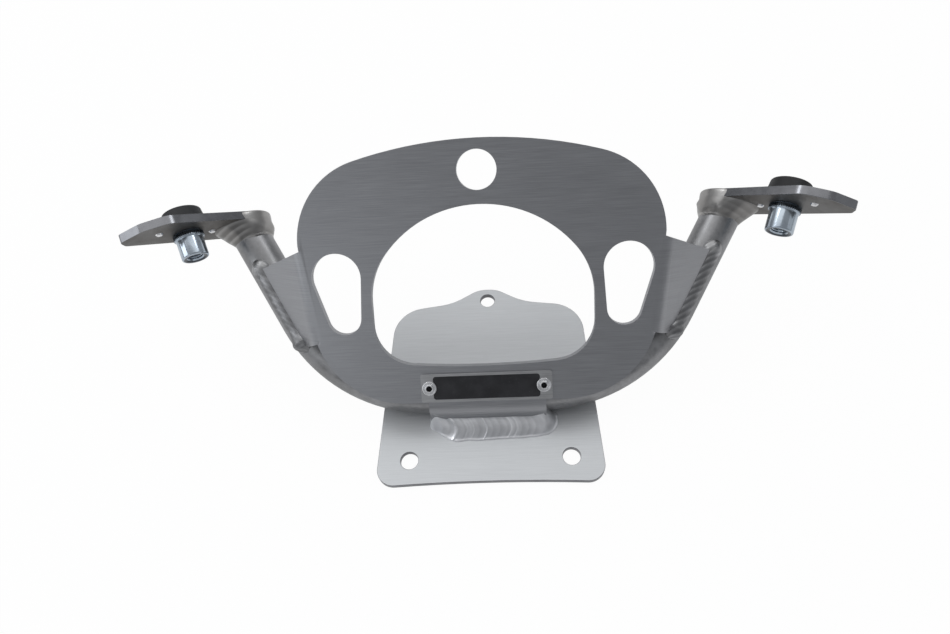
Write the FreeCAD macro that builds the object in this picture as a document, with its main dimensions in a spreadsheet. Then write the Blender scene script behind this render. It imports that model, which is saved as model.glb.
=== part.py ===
import FreeCAD, Part
import math
import os

import Sketcher

Vector = FreeCAD.Vector
doc = FreeCAD.newDocument("fairing_stay")

# Driving dimensions, in millimetres and degrees
sizes = {
    "base_thickness": 3,
    "front_hole_spacing": 76,
    "front_hole_dia": 8.4,
    "rear_hole_dia": 7.4,
    "rear_hole_setback": 86,
    "base_front_width": 107.4,
    "base_rear_width": 95.6,
    "base_front_overhang": 12.4,
    "base_front_hollow": 1.6,
    "shoulder_setback": 81,
    "nose_foot_width": 36.8,
    "nose_foot_setback": 84.9,
    "nose_width": 9.2,
    "nose_setback": 92.8,
    "front_corner_radius": 8,
    "shoulder_radius": 16.5,
    "nose_foot_radius": 32,
    "nose_radius": 14,
    "tube_dia": 18,
    "tube_wall": 2,
    "tube_setback": 29.5,
    "tube_tilt": 25.2,
    "arm_spread": 60.9,
    "arm_vertex": 69.3,
    "bend_radius": 72,
    "arm_length": 96.7,
    "sheet_thickness": 4,
    "sheet_angle": 41.4,
    "sheet_width": 162.6,
    "arch_height": 118,
    "arch_radius": 200,
    "arch_corner_radius": 37,
    "lower_edge_width": 74,
    "lower_corner_radius": 41,
    "tongue_width": 54,
    "fold_radius": 5,
    "wing_seat_angle": 22,
    "fold_low_level": 29.5,
    "fold_high_level": 72.2,
    "wing_low_end": 29,
    "wing_high_end": 72,
    "duct_height": 89.7,
    "duct_sill": 16.9,
    "duct_width": 100,
    "duct_top_margin": 4.5,
    "duct_side_radius": 34,
    "duct_corner_radius": 18.7,
    "duct_sill_radius": 400,
    "slot_high_offset": 65.2,
    "slot_high_level": 59.6,
    "slot_high_radius": 11.2,
    "slot_low_offset": 63,
    "slot_low_level": 41.3,
    "slot_low_radius": 7.8,
    "crown_hole_level": 104.5,
    "crown_hole_dia": 17.6,
    "tab_thickness": 4,
    "tab_width": 22,
    "tab_outward_lean": 19.4,
    "tab_slope": 68,
    "tab_heading": 47.4,
    "tab_near_margin": 11.8,
    "tab_nut_reach": 29.8,
    "tab_nut_drop": 1.9,
    "tab_bevel_start": 14,
    "tab_bevel_mid": 24,
    "tab_bevel_depth": 7.6,
    "tab_tip_reach": 29.8,
    "tab_tip_cut": 3.7,
    "tab_bevel_radius": 9,
    "tab_tip_radius": 2,
    "tab_root_flat": 0.022,
    "nut_body_dia": 12.4,
    "nut_body_length": 12.2,
    "nut_collar_dia": 13.4,
    "nut_collar_length": 2.4,
    "nut_flange_dia": 15,
    "nut_flange_thickness": 1,
    "nut_bore_dia": 6.8,
    "nut_end_radius": 1.6,
    "pad_base_dia": 20,
    "pad_top_dia": 18,
    "pad_height": 7,
    "pad_bore_dia": 9,
    "tab_rivet_outer": 14.5,
    "tab_rivet_inner": 11.2,
    "tab_rivet_shift": 2.2,
    "tab_rivet_dia": 2.4,
    "tab_rivet_head_dia": 3.4,
    "tab_rivet_head_height": 0.6,
    "plate_width": 60,
    "plate_height": 13.4,
    "plate_thickness": 1,
    "plate_level": 7.2,
    "plate_corner_radius": 1,
    "rivet_spacing": 52.4,
    "rivet_shank_dia": 3.2,
    "rivet_head_dia": 6.6,
    "rivet_head_height": 1.3,
    "rivet_crown_dia": 4,
    "rivet_mandrel_dia": 2,
    "rivet_tail_dia": 4.2,
    "rivet_tail_length": 1.2,
    "base_weld_size": 8.2,
    "base_weld_overrun": 4,
    "tube_weld_size": 4,
    "tube_weld_length": 64,
    "wing_weld_size": 4.9,
    "wing_weld_depth": 7.2,
    "wing_weld_angle": 9,
    "wing_weld_overrun": 6,
    "tab_weld_height": 8,
    "tab_weld_reach": 16.4,
    "tab_weld_heel": 10.8,
    "tab_weld_width": 21,
    "tab_weld_waist": 1.2,
}

sheet = doc.addObject("Spreadsheet::Sheet", "Sizes")
for row, (alias, number) in enumerate(sizes.items(), start=1):
    sheet.set(f"A{row}", alias)
    sheet.set(f"B{row}", str(number))
    sheet.setAlias(f"B{row}", alias)
doc.recompute()


def value(expression):
    return float(sheet.evalExpression(expression))


def bind(item, name, expression):
    item.setExpression(name, expression)


def placed(origin, x_axis, y_axis):
    turn = FreeCAD.Rotation(x_axis, y_axis, x_axis.cross(y_axis), "ZXY")
    return FreeCAD.Placement(origin, turn)


def origin_plane(body, role):
    return next(item for item in body.Origin.OriginFeatures if item.Role == role)


def new_sketch(body, name, role="XY_Plane"):
    sketch = body.newObject("Sketcher::SketchObject", name)
    sketch.AttachmentSupport = [(origin_plane(body, role), "")]
    sketch.MapMode = "FlatFace"
    return sketch


def hold(sketch, kind, *where, size=None):
    # A constraint on the sketch; a size is an expression of the sheet
    if size is None:
        return sketch.addConstraint(Sketcher.Constraint(kind, *where))
    index = sketch.addConstraint(Sketcher.Constraint(kind, *where, value(size)))
    sketch.setExpression(f"Constraints[{index}]", size)
    return index


def hold_point(sketch, geometry, vertex, x_size, y_size):
    # A vertex at a place given by two expressions, with None for a place on the axis
    if x_size is None:
        hold(sketch, "PointOnObject", geometry, vertex, -2)
    else:
        hold(sketch, "DistanceX", -1, 1, geometry, vertex, size=x_size)
    if y_size is None:
        hold(sketch, "PointOnObject", geometry, vertex, -1)
    else:
        hold(sketch, "DistanceY", -1, 1, geometry, vertex, size=y_size)


def spot(x_size, y_size):
    x = 0 if x_size is None else value(x_size)
    y = 0 if y_size is None else value(y_size)
    return Vector(x, y, 0)


def polyline(sketch, corners):
    points = [spot(*corner) for corner in corners]
    edges = [sketch.addGeometry(Part.LineSegment(*pair)) for pair in zip(points, points[1:])]
    for index, edge in enumerate(edges):
        hold_point(sketch, edge, 1, *corners[index])
    for edge, following in zip(edges, edges[1:]):
        hold(sketch, "Coincident", edge, 2, following, 1)
    return edges


def polygon(sketch, corners):
    edges = polyline(sketch, corners)
    closing = sketch.addGeometry(Part.LineSegment(spot(*corners[-1]), spot(*corners[0])))
    hold(sketch, "Coincident", edges[-1], 2, closing, 1)
    hold(sketch, "Coincident", closing, 2, edges[0], 1)
    hold_point(sketch, closing, 1, *corners[-1])


def hollow_edge(sketch, edges, corners, depth_size):
    # The last edge of an outline as an arc that is hollow by a depth, between the last corner and the first
    first, last = spot(*corners[0]), spot(*corners[-1])
    deepest = (first + last) * 0.5 + Vector(0, value(depth_size), 0)
    edge = sketch.addGeometry(Part.Arc(first, deepest, last))
    hold(sketch, "Coincident", edge, 1, edges[0], 1)
    hold(sketch, "Coincident", edge, 2, edges[-1], 2)
    hold_point(sketch, edge, 2, *corners[-1])
    width_size = "Sizes.base_front_width"
    radius_size = f"({width_size} ^ 2 / 4 + {depth_size} ^ 2) / (2 * {depth_size})"
    hold(sketch, "Radius", edge, size=radius_size)


def circle(sketch, x_size, y_size, dia_size):
    ring = sketch.addGeometry(Part.Circle(spot(x_size, y_size), Vector(0, 0, 1), value(dia_size) / 2))
    hold(sketch, "Diameter", ring, size=dia_size)
    hold_point(sketch, ring, 3, x_size, y_size)


def pad(body, sketch, size):
    feature = body.newObject("PartDesign::Pad", sketch.Name + "_pad")
    feature.Profile = sketch
    bind(feature, "Length", size)
    doc.recompute()
    return feature


def cut_through(body, sketch):
    before = body.Shape.Volume
    feature = body.newObject("PartDesign::Pocket", sketch.Name + "_cut")
    feature.Profile = sketch
    feature.Type = "ThroughAll"
    feature.Reversed = True
    doc.recompute()
    if not body.Shape.Volume < before:
        raise RuntimeError(sketch.Name + " cuts nothing")


def round_corners(body, base, corners, radius_size, name):
    # Rounds the upright edges that stand at the given corners
    names = []
    for number, edge in enumerate(base.Shape.Edges, start=1):
        foot, head = edge.Vertexes[0].Point, edge.Vertexes[-1].Point
        upright = math.hypot(foot.x - head.x, foot.y - head.y) < 1e-6
        if upright and any(math.hypot(foot.x - c.x, foot.y - c.y) < 1e-4 for c in corners):
            names.append(f"Edge{number}")
    if len(names) != len(corners):
        raise RuntimeError(f"{name} finds {len(names)} corners")
    feature = body.newObject("PartDesign::Fillet", name)
    feature.Base = (base, names)
    bind(feature, "Radius", radius_size)
    doc.recompute()
    return feature


def primitive(kind, name, placement, **expressions):
    item = doc.addObject(kind, name)
    for prop, expression in expressions.items():
        bind(item, prop, expression)
    item.Placement = placement
    return item


def minus(name, base, *tools):
    # The base with each tool taken away in turn
    for index, tool in enumerate(tools):
        last = index == len(tools) - 1
        cut = doc.addObject("Part::Cut", name if last else f"{name}_less_{tool.Name}")
        cut.Base = base
        cut.Tool = tool
        base = cut
    return base


def joined(name, *items):
    union = doc.addObject("Part::MultiFuse", name)
    union.Shapes = list(items)
    union.Refine = True
    return union


def shaped(name, shape, placement=FreeCAD.Placement()):
    item = doc.addObject("Part::Feature", name)
    item.Shape = shape
    item.Placement = placement
    return item


nodes = {}


def node(item, name):
    item.Label = name
    nodes[name] = item
    return item


# Shared directions. The stay lies on its base, with the front bolt holes on the X axis.
tube_radius = value("Sizes.tube_dia / 2")
thickness = value("Sizes.sheet_thickness")
base_top = value("Sizes.base_thickness")
slope = math.radians(value("Sizes.sheet_angle"))
tilt = math.radians(value("Sizes.tube_tilt"))
spread = math.radians(value("Sizes.arm_spread"))
across = Vector(1, 0, 0)
up_sheet = Vector(0, math.cos(slope), math.sin(slope))
sheet_normal = across.cross(up_sheet)
up_bend = Vector(0, math.cos(tilt), math.sin(tilt))
tube_foot = Vector(0, value("Sizes.tube_setback"), base_top + tube_radius)
sheet_foot = tube_foot + sheet_normal * tube_radius
arm = across * math.cos(spread) + up_bend * math.sin(spread)
arm_corner = tube_foot + across * value("Sizes.arm_vertex")
sides = {"left": -1, "right": 1}


def mirrored(vector, side):
    return Vector(side * vector.x, vector.y, vector.z)


# Base plate: flat profile, two front bolt holes and one in the nose
base_body = node(doc.addObject("PartDesign::Body", "BasePlate"), "base_plate")
half = {
    "front": ("Sizes.base_front_width / 2", "-Sizes.base_front_overhang"),
    "shoulder": ("Sizes.base_rear_width / 2", "Sizes.shoulder_setback"),
    "foot": ("Sizes.nose_foot_width / 2", "Sizes.nose_foot_setback"),
    "nose": ("Sizes.nose_width / 2", "Sizes.nose_setback"),
}
right_half = [half["front"], half["shoulder"], half["foot"], half["nose"]]
left_half = [("-" + x, y) for x, y in reversed(right_half)]
base_corners = right_half + left_half
base_sketch = new_sketch(base_body, "base_outline")
base_edges = polyline(base_sketch, base_corners)
hollow_edge(base_sketch, base_edges, base_corners, "Sizes.base_front_hollow")
base_pad = pad(base_body, base_sketch, "Sizes.base_thickness")
roundings = {
    "front": "front_corner_radius",
    "shoulder": "shoulder_radius",
    "foot": "nose_foot_radius",
    "nose": "nose_radius",
}
for corner, radius in roundings.items():
    right_corner = spot(*half[corner])
    pair = [right_corner, mirrored(right_corner, -1)]
    base_pad = round_corners(base_body, base_pad, pair, f"Sizes.{radius}", f"base_{corner}_rounding")
bolt_sketch = new_sketch(base_body, "base_bolt_holes")
circle(bolt_sketch, "Sizes.front_hole_spacing / 2", None, "Sizes.front_hole_dia")
circle(bolt_sketch, "-Sizes.front_hole_spacing / 2", None, "Sizes.front_hole_dia")
circle(bolt_sketch, None, "Sizes.rear_hole_setback", "Sizes.rear_hole_dia")
cut_through(base_body, bolt_sketch)


# Tube: half of the U swept from its middle, then mirrored
def bent_tube(name, dia_size):
    body = doc.addObject("PartDesign::Body", name)
    spine = new_sketch(body, name + "_spine")
    radius = value("Sizes.bend_radius")
    tangent = radius * math.tan(spread / 2)
    vertex = value("Sizes.arm_vertex")
    start = Vector(0, 0, 0)
    bend_start = Vector(vertex - tangent, 0, 0)
    centre = Vector(bend_start.x, radius, 0)
    bend_end = centre + Vector(math.sin(spread), -math.cos(spread), 0) * radius
    past_tab = value("Sizes.arm_length + Sizes.tube_dia")
    end = Vector(vertex, 0, 0) + Vector(math.cos(spread), math.sin(spread), 0) * past_tab
    level = spine.addGeometry(Part.LineSegment(start, bend_start))
    ring = Part.Circle(centre, Vector(0, 0, 1), radius)
    bend = spine.addGeometry(Part.ArcOfCircle(ring, -math.pi / 2, spread - math.pi / 2))
    rise = spine.addGeometry(Part.LineSegment(bend_end, end))
    hold(spine, "Coincident", level, 1, -1, 1)
    hold(spine, "Horizontal", level)
    hold(spine, "Tangent", level, 2, bend, 1)
    hold(spine, "Tangent", bend, 2, rise, 1)
    hold(spine, "Radius", bend, size="Sizes.bend_radius")
    hold(spine, "DistanceX", -1, 1, level, 2, size=bend_start_size)
    hold(spine, "DistanceX", -1, 1, rise, 2, size=reach_size("cos"))
    hold(spine, "DistanceY", -1, 1, rise, 2, size=reach_size("sin"))
    profile = new_sketch(body, name + "_profile", "YZ_Plane")
    circle(profile, None, None, dia_size)
    sweep = body.newObject("PartDesign::AdditivePipe", name + "_sweep")
    sweep.Profile = profile
    sweep.Spine = spine
    doc.recompute()
    mirror = body.newObject("PartDesign::Mirrored", name + "_mirror")
    mirror.Originals = [sweep]
    mirror.MirrorPlane = (origin_plane(body, "YZ_Plane"), [""])
    body.Tip = mirror
    body.Placement = placed(tube_foot, across, up_bend)
    return body


bend_start_size = "Sizes.arm_vertex - Sizes.bend_radius * tan(Sizes.arm_spread * 0.5 deg)"


def reach_size(part):
    # The free end of an arm, past its tab, from the middle of the U
    run = f"(Sizes.arm_length + Sizes.tube_dia) * {part}(Sizes.arm_spread * 1 deg)"
    return "Sizes.arm_vertex + " + run if part == "cos" else run


tube_solid = bent_tube("TubeOutside", "Sizes.tube_dia")
tube_bore = bent_tube("TubeBore", "Sizes.tube_dia - 2 * Sizes.tube_wall")
doc.recompute()

# Tabs lie across the upper ends of the arms: out along the tab, far across it, up through it
lean = math.radians(value("Sizes.tab_outward_lean"))
tab_slope = math.radians(value("Sizes.tab_slope"))
heading = math.radians(value("Sizes.tab_heading"))
tab_up = Vector(math.sin(lean), math.cos(lean) * math.sin(tab_slope), math.cos(lean) * math.cos(tab_slope))
level_out = across - tab_up * tab_up.x
level_out.normalize()
level_far = tab_up.cross(level_out)
tab_out = level_out * math.cos(heading) - level_far * math.sin(heading)
tab_far = level_out * math.sin(heading) + level_far * math.cos(heading)
tab_root = arm_corner + arm * value("Sizes.arm_length")


def tab_frame(side, along=0, over=0, lift=0):
    place = tab_root + tab_out * along + tab_far * over + tab_up * lift
    return placed(mirrored(place, side), mirrored(tab_out, side) * side, mirrored(tab_far, side))


# Blocks that trim the tube and the beads are wider than what they trim by this many tube diameters
trim_diameters = 4
end_block = f"{trim_diameters} * Sizes.tube_dia"
end_blocks = []
for label, side in sides.items():
    reach = value(end_block)
    corner = tab_frame(side, -side * reach / 2, -reach / 2)
    block = primitive(
        "Part::Box", f"{label}_tube_end", corner, Length=end_block, Width=end_block, Height=end_block
    )
    end_blocks.append(block)
tube = node(minus("Tube", tube_solid, tube_bore, *end_blocks), "tube")
tube_outside = minus("TubeEnvelope", tube_solid, *end_blocks)


# Front plate: flat sheet with its openings, drawn on its back face
sheet_body = doc.addObject("PartDesign::Body", "FrontSheet")
sheet_frame = placed(sheet_foot, across, up_sheet)
sheet_body.Placement = sheet_frame


def arc(sketch, centre, radius, start, end):
    # An arc run anticlockwise from one point to another
    ring = Part.Circle(centre, Vector(0, 0, 1), radius)
    first = math.atan2(start.y - centre.y, start.x - centre.x)
    last = math.atan2(end.y - centre.y, end.x - centre.x)
    if last <= first:
        last += 2 * math.pi
    return sketch.addGeometry(Part.ArcOfCircle(ring, first, last))


def toward(start, end, distance):
    step = end - start
    step.normalize()
    return start + step * distance


def sheet_outline():
    sketch = new_sketch(sheet_body, "sheet_outline")
    low_x = value("Sizes.lower_edge_width / 2")
    low_radius = value("Sizes.lower_corner_radius")
    half_width = value("Sizes.sheet_width / 2")
    arch_radius = value("Sizes.arch_radius")
    corner_radius = value("Sizes.arch_corner_radius")
    arch_centre = Vector(0, value("Sizes.arch_height") - arch_radius, 0)
    corner_x = half_width - corner_radius
    corner_y = arch_centre.y + math.sqrt((arch_radius - corner_radius) ** 2 - corner_x ** 2)
    corner_centre = Vector(corner_x, corner_y, 0)
    crown = toward(arch_centre, corner_centre, arch_radius)
    side_top = Vector(half_width, corner_y, 0)
    side_low = Vector(low_x + low_radius, low_radius, 0)
    low_centre = Vector(low_x, low_radius, 0)
    low_end = Vector(low_x, 0, 0)
    sill = sketch.addGeometry(Part.LineSegment(mirrored(low_end, -1), low_end))
    right_low = arc(sketch, low_centre, low_radius, low_end, side_low)
    right_side = sketch.addGeometry(Part.LineSegment(side_low, side_top))
    right_corner = arc(sketch, corner_centre, corner_radius, side_top, crown)
    arch = arc(sketch, arch_centre, arch_radius, crown, mirrored(crown, -1))
    left_corner = arc(
        sketch, mirrored(corner_centre, -1), corner_radius, mirrored(crown, -1), mirrored(side_top, -1)
    )
    left_side = sketch.addGeometry(Part.LineSegment(mirrored(side_top, -1), mirrored(side_low, -1)))
    left_low = arc(
        sketch, mirrored(low_centre, -1), low_radius, mirrored(side_low, -1), mirrored(low_end, -1)
    )
    hold_point(sketch, sill, 1, "-Sizes.lower_edge_width / 2", None)
    hold_point(sketch, sill, 2, "Sizes.lower_edge_width / 2", None)
    hold(sketch, "Tangent", sill, 2, right_low, 1)
    hold(sketch, "Tangent", left_low, 2, sill, 1)
    hold(sketch, "Coincident", right_low, 2, right_side, 1)
    hold(sketch, "Coincident", right_side, 2, right_corner, 1)
    hold(sketch, "Tangent", right_corner, 2, arch, 1)
    hold(sketch, "Tangent", arch, 2, left_corner, 1)
    hold(sketch, "Coincident", left_corner, 2, left_side, 1)
    hold(sketch, "Coincident", left_side, 2, left_low, 1)
    hold(sketch, "Horizontal", right_low, 3, right_low, 2)
    hold(sketch, "Horizontal", left_low, 3, left_low, 1)
    hold(sketch, "Horizontal", right_corner, 3, right_corner, 1)
    hold(sketch, "Horizontal", left_corner, 3, left_corner, 2)
    for geometry in (right_low, left_low):
        hold(sketch, "Radius", geometry, size="Sizes.lower_corner_radius")
    for geometry in (right_corner, left_corner):
        hold(sketch, "Radius", geometry, size="Sizes.arch_corner_radius")
    hold(sketch, "DistanceX", -1, 1, right_side, 2, size="Sizes.sheet_width / 2")
    hold(sketch, "DistanceX", -1, 1, left_side, 1, size="-Sizes.sheet_width / 2")
    hold(sketch, "Radius", arch, size="Sizes.arch_radius")
    hold_point(sketch, arch, 3, None, "Sizes.arch_height - Sizes.arch_radius")
    return sketch


def duct_outline():
    # Dome, rounded sides, short upright edges, lower corners and sill, each tangent to the next.
    # The dome is a little wider than the duct, so that the rounded sides always meet it
    sketch = new_sketch(sheet_body, "duct_outline")
    half_width = value("Sizes.duct_width / 2")
    dome_radius = "(Sizes.duct_width / 2 + Sizes.duct_top_margin)"
    top_radius = value(dome_radius)
    side_radius = value("Sizes.duct_side_radius")
    corner_radius = value("Sizes.duct_corner_radius")
    sill_radius = value("Sizes.duct_sill_radius")
    top_centre = Vector(0, value("Sizes.duct_height") - top_radius, 0)
    sill_centre = Vector(0, value("Sizes.duct_sill") + sill_radius, 0)
    side_x = half_width - side_radius
    side_y = top_centre.y + math.sqrt((top_radius - side_radius) ** 2 - side_x ** 2)
    side_centre = Vector(side_x, side_y, 0)
    corner_x = half_width - corner_radius
    corner_y = sill_centre.y - math.sqrt((sill_radius - corner_radius) ** 2 - corner_x ** 2)
    corner_centre = Vector(corner_x, corner_y, 0)
    crown = toward(top_centre, side_centre, top_radius)
    edge_top = Vector(half_width, side_y, 0)
    edge_low = Vector(half_width, corner_y, 0)
    heel = toward(sill_centre, corner_centre, sill_radius)
    dome = arc(sketch, top_centre, top_radius, crown, mirrored(crown, -1))
    left_side = arc(
        sketch, mirrored(side_centre, -1), side_radius, mirrored(crown, -1), mirrored(edge_top, -1)
    )
    left_edge = sketch.addGeometry(Part.LineSegment(mirrored(edge_top, -1), mirrored(edge_low, -1)))
    left_heel = arc(
        sketch, mirrored(corner_centre, -1), corner_radius, mirrored(edge_low, -1), mirrored(heel, -1)
    )
    sill = arc(sketch, sill_centre, sill_radius, mirrored(heel, -1), heel)
    right_heel = arc(sketch, corner_centre, corner_radius, heel, edge_low)
    right_edge = sketch.addGeometry(Part.LineSegment(edge_low, edge_top))
    right_side = arc(sketch, side_centre, side_radius, edge_top, crown)
    ring = [dome, left_side, left_edge, left_heel, sill, right_heel, right_edge, right_side]
    for index, geometry in enumerate(ring):
        hold(sketch, "Tangent", geometry, 2, ring[(index + 1) % len(ring)], 1)
    hold(sketch, "Radius", dome, size=dome_radius)
    hold(sketch, "Radius", sill, size="Sizes.duct_sill_radius")
    for geometry in (left_side, right_side):
        hold(sketch, "Radius", geometry, size="Sizes.duct_side_radius")
    for geometry in (left_heel, right_heel):
        hold(sketch, "Radius", geometry, size="Sizes.duct_corner_radius")
    hold_point(sketch, dome, 3, None, f"Sizes.duct_height - {dome_radius}")
    hold_point(sketch, sill, 3, None, "Sizes.duct_sill + Sizes.duct_sill_radius")
    for geometry, sign in ((left_edge, "-"), (right_edge, "")):
        hold(sketch, "Vertical", geometry)
        hold(sketch, "DistanceX", -1, 1, geometry, 1, size=f"{sign}Sizes.duct_width / 2")
    return sketch


def slot_outline(label, side):
    # Two circles of unlike size with their outer tangents
    sketch = new_sketch(sheet_body, f"{label}_slot_outline")
    sign = "-" if side < 0 else ""
    high = spot(f"{sign}Sizes.slot_high_offset", "Sizes.slot_high_level")
    low = spot(f"{sign}Sizes.slot_low_offset", "Sizes.slot_low_level")
    high_radius = value("Sizes.slot_high_radius")
    low_radius = value("Sizes.slot_low_radius")
    axis = high - low
    bearing = math.atan2(axis.y, axis.x)
    turn = math.acos((low_radius - high_radius) / axis.Length)
    right_way = Vector(math.cos(bearing - turn), math.sin(bearing - turn), 0)
    left_way = Vector(math.cos(bearing + turn), math.sin(bearing + turn), 0)
    top = arc(sketch, high, high_radius, high + right_way * high_radius, high + left_way * high_radius)
    left_edge = sketch.addGeometry(
        Part.LineSegment(high + left_way * high_radius, low + left_way * low_radius)
    )
    bottom = arc(sketch, low, low_radius, low + left_way * low_radius, low + right_way * low_radius)
    right_edge = sketch.addGeometry(
        Part.LineSegment(low + right_way * low_radius, high + right_way * high_radius)
    )
    ring = [top, left_edge, bottom, right_edge]
    for index, geometry in enumerate(ring):
        hold(sketch, "Tangent", geometry, 2, ring[(index + 1) % len(ring)], 1)
    hold(sketch, "Radius", top, size="Sizes.slot_high_radius")
    hold(sketch, "Radius", bottom, size="Sizes.slot_low_radius")
    hold_point(sketch, top, 3, f"{sign}Sizes.slot_high_offset", "Sizes.slot_high_level")
    hold_point(sketch, bottom, 3, f"{sign}Sizes.slot_low_offset", "Sizes.slot_low_level")
    return sketch


pad(sheet_body, sheet_outline(), "Sizes.sheet_thickness")
cut_through(sheet_body, duct_outline())
for label, side in sides.items():
    cut_through(sheet_body, slot_outline(label, side))
crown_sketch = new_sketch(sheet_body, "crown_hole")
circle(crown_sketch, None, "Sizes.crown_hole_level", "Sizes.crown_hole_dia")
cut_through(sheet_body, crown_sketch)
rivet_sketch = new_sketch(sheet_body, "rivet_holes")
circle(rivet_sketch, "Sizes.rivet_spacing / 2", "Sizes.plate_level", "Sizes.rivet_shank_dia")
circle(rivet_sketch, "-Sizes.rivet_spacing / 2", "Sizes.plate_level", "Sizes.rivet_shank_dia")
cut_through(sheet_body, rivet_sketch)

# A wing's back face runs from its fold to a line on the tube, the seat
seat_angle = math.radians(value("Sizes.wing_seat_angle"))
arm_front = sheet_normal - arm * arm.dot(sheet_normal)
arm_front.normalize()
arm_side = arm.cross(arm_front)
seat = arm_front * math.cos(seat_angle) - arm_side * math.sin(seat_angle)
seat_foot = arm_corner + seat * tube_radius


# The fold runs from the sheet's upright side down to its round lower corner, on the back face
def sheet_spot(offset, level):
    return sheet_foot + across * offset + up_sheet * level


def corner_offset(level):
    radius = value("Sizes.lower_corner_radius")
    rise_left = radius - min(level, radius)
    return value("Sizes.lower_edge_width / 2") + math.sqrt(radius ** 2 - rise_left ** 2)


fold_low_level = value("Sizes.fold_low_level")
fold_low = sheet_spot(corner_offset(fold_low_level), fold_low_level)
fold_high = sheet_spot(value("Sizes.sheet_width / 2"), value("Sizes.fold_high_level"))
wing_low = seat_foot + arm * value("Sizes.wing_low_end")
wing_high = seat_foot + arm * value("Sizes.wing_high_end")
fold_radius = value("Sizes.fold_radius")


def wing_section(fold_end, seat_end):
    # One end of a wing: a bend of the fold's radius, then straight to the seat, one thickness deep
    way = seat_end - fold_end
    drop = -way.dot(sheet_normal)
    level_way = way + sheet_normal * drop
    turn = math.atan2(drop, level_way.Length)
    level_way.normalize()
    setback = fold_radius * math.tan(turn / 2)
    start = fold_end - level_way * setback
    centre = start - sheet_normal * fold_radius

    def bend_spot(angle, radius):
        return centre + sheet_normal * radius * math.cos(angle) + level_way * radius * math.sin(angle)

    front = sheet_normal * math.cos(turn) + level_way * math.sin(turn)
    back_arc = [bend_spot(turn * share, fold_radius) for share in (0, 0.5, 1)]
    front_arc = [bend_spot(turn * share, fold_radius + thickness) for share in (1, 0.5, 0)]
    return start, level_way, back_arc, seat_end, seat_end + front * thickness, front_arc


def section_wire(section, side):
    back_arc, back_end, front_end, front_arc = section[2:]
    back_arc = [mirrored(point, side) for point in back_arc]
    front_arc = [mirrored(point, side) for point in front_arc]
    ends = [back_arc[2], mirrored(back_end, side), mirrored(front_end, side), front_arc[0]]
    edges = [Part.Arc(*back_arc).toShape()]
    edges += [Part.LineSegment(first, second).toShape() for first, second in zip(ends, ends[1:])]
    edges.append(Part.Arc(*front_arc).toShape())
    edges.append(Part.LineSegment(front_arc[2], back_arc[0]).toShape())
    return Part.Wire(edges)


low_section = wing_section(fold_low, wing_low)
high_section = wing_section(fold_high, wing_high)
# Outside the bends the flat sheet is cut away, from one thickness behind it to one in front of it
relief_back = sheet_normal * -thickness
relief_through = sheet_normal * 3 * thickness
relief_reach = value("Sizes.sheet_width / 2")
relief = [
    low_section[0] + relief_back,
    low_section[0] + low_section[1] * relief_reach + relief_back,
    high_section[0] + high_section[1] * relief_reach + relief_back,
    high_section[0] + relief_back,
]
folded = []
trims = []
for label, side in sides.items():
    wing_ends = [section_wire(section, side) for section in (low_section, high_section)]
    folded.append(shaped(f"{label}_wing", Part.makeLoft(wing_ends, True, True)))
    corners = [mirrored(point, side) for point in relief]
    outline = Part.Face(Part.makePolygon(corners + corners[:1]))
    trims.append(shaped(f"{label}_fold_trim", outline.extrude(relief_through)))

# Tongue: bent round the tube, then straight down to the base
tongue_half = value("Sizes.tongue_width / 2")
tongue_frame = placed(tube_foot + across * tongue_half, Vector(0, -1, 0), Vector(0, 0, 1))
wrap_outer = primitive(
    "Part::Cylinder", "tongue_wrap", tongue_frame,
    Radius="Sizes.tube_dia / 2 + Sizes.sheet_thickness", Height="Sizes.tongue_width",
    Angle="90 - Sizes.sheet_angle",
)
tongue_corner = tube_foot - across * tongue_half
tongue_corner = tongue_corner - Vector(0, tube_radius + thickness, tube_radius)
tongue_flat = primitive(
    "Part::Box", "tongue_flat", FreeCAD.Placement(tongue_corner, FreeCAD.Rotation()),
    Length="Sizes.tongue_width", Width="Sizes.sheet_thickness", Height="Sizes.tube_dia / 2",
)
flat_sheet = minus("FlatSheet", sheet_body, *trims)
folded_sheet = joined("FoldedSheet", flat_sheet, wrap_outer, tongue_flat, *folded)
front_plate = node(minus("FrontPlate", folded_sheet, tube_outside), "front_plate")


# Tabs with their rivet nuts, pads and small rivets
def tab_along(side, size):
    return f"{'-' if side < 0 else ''}({size})"


nut_along = "Sizes.tab_nut_reach"
nut_over = "Sizes.tab_nut_drop"
near_edge = "-Sizes.tab_near_margin"
far_edge = "Sizes.tab_width - Sizes.tab_near_margin"
root_edge = "-Sizes.tab_width / 2"


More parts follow.
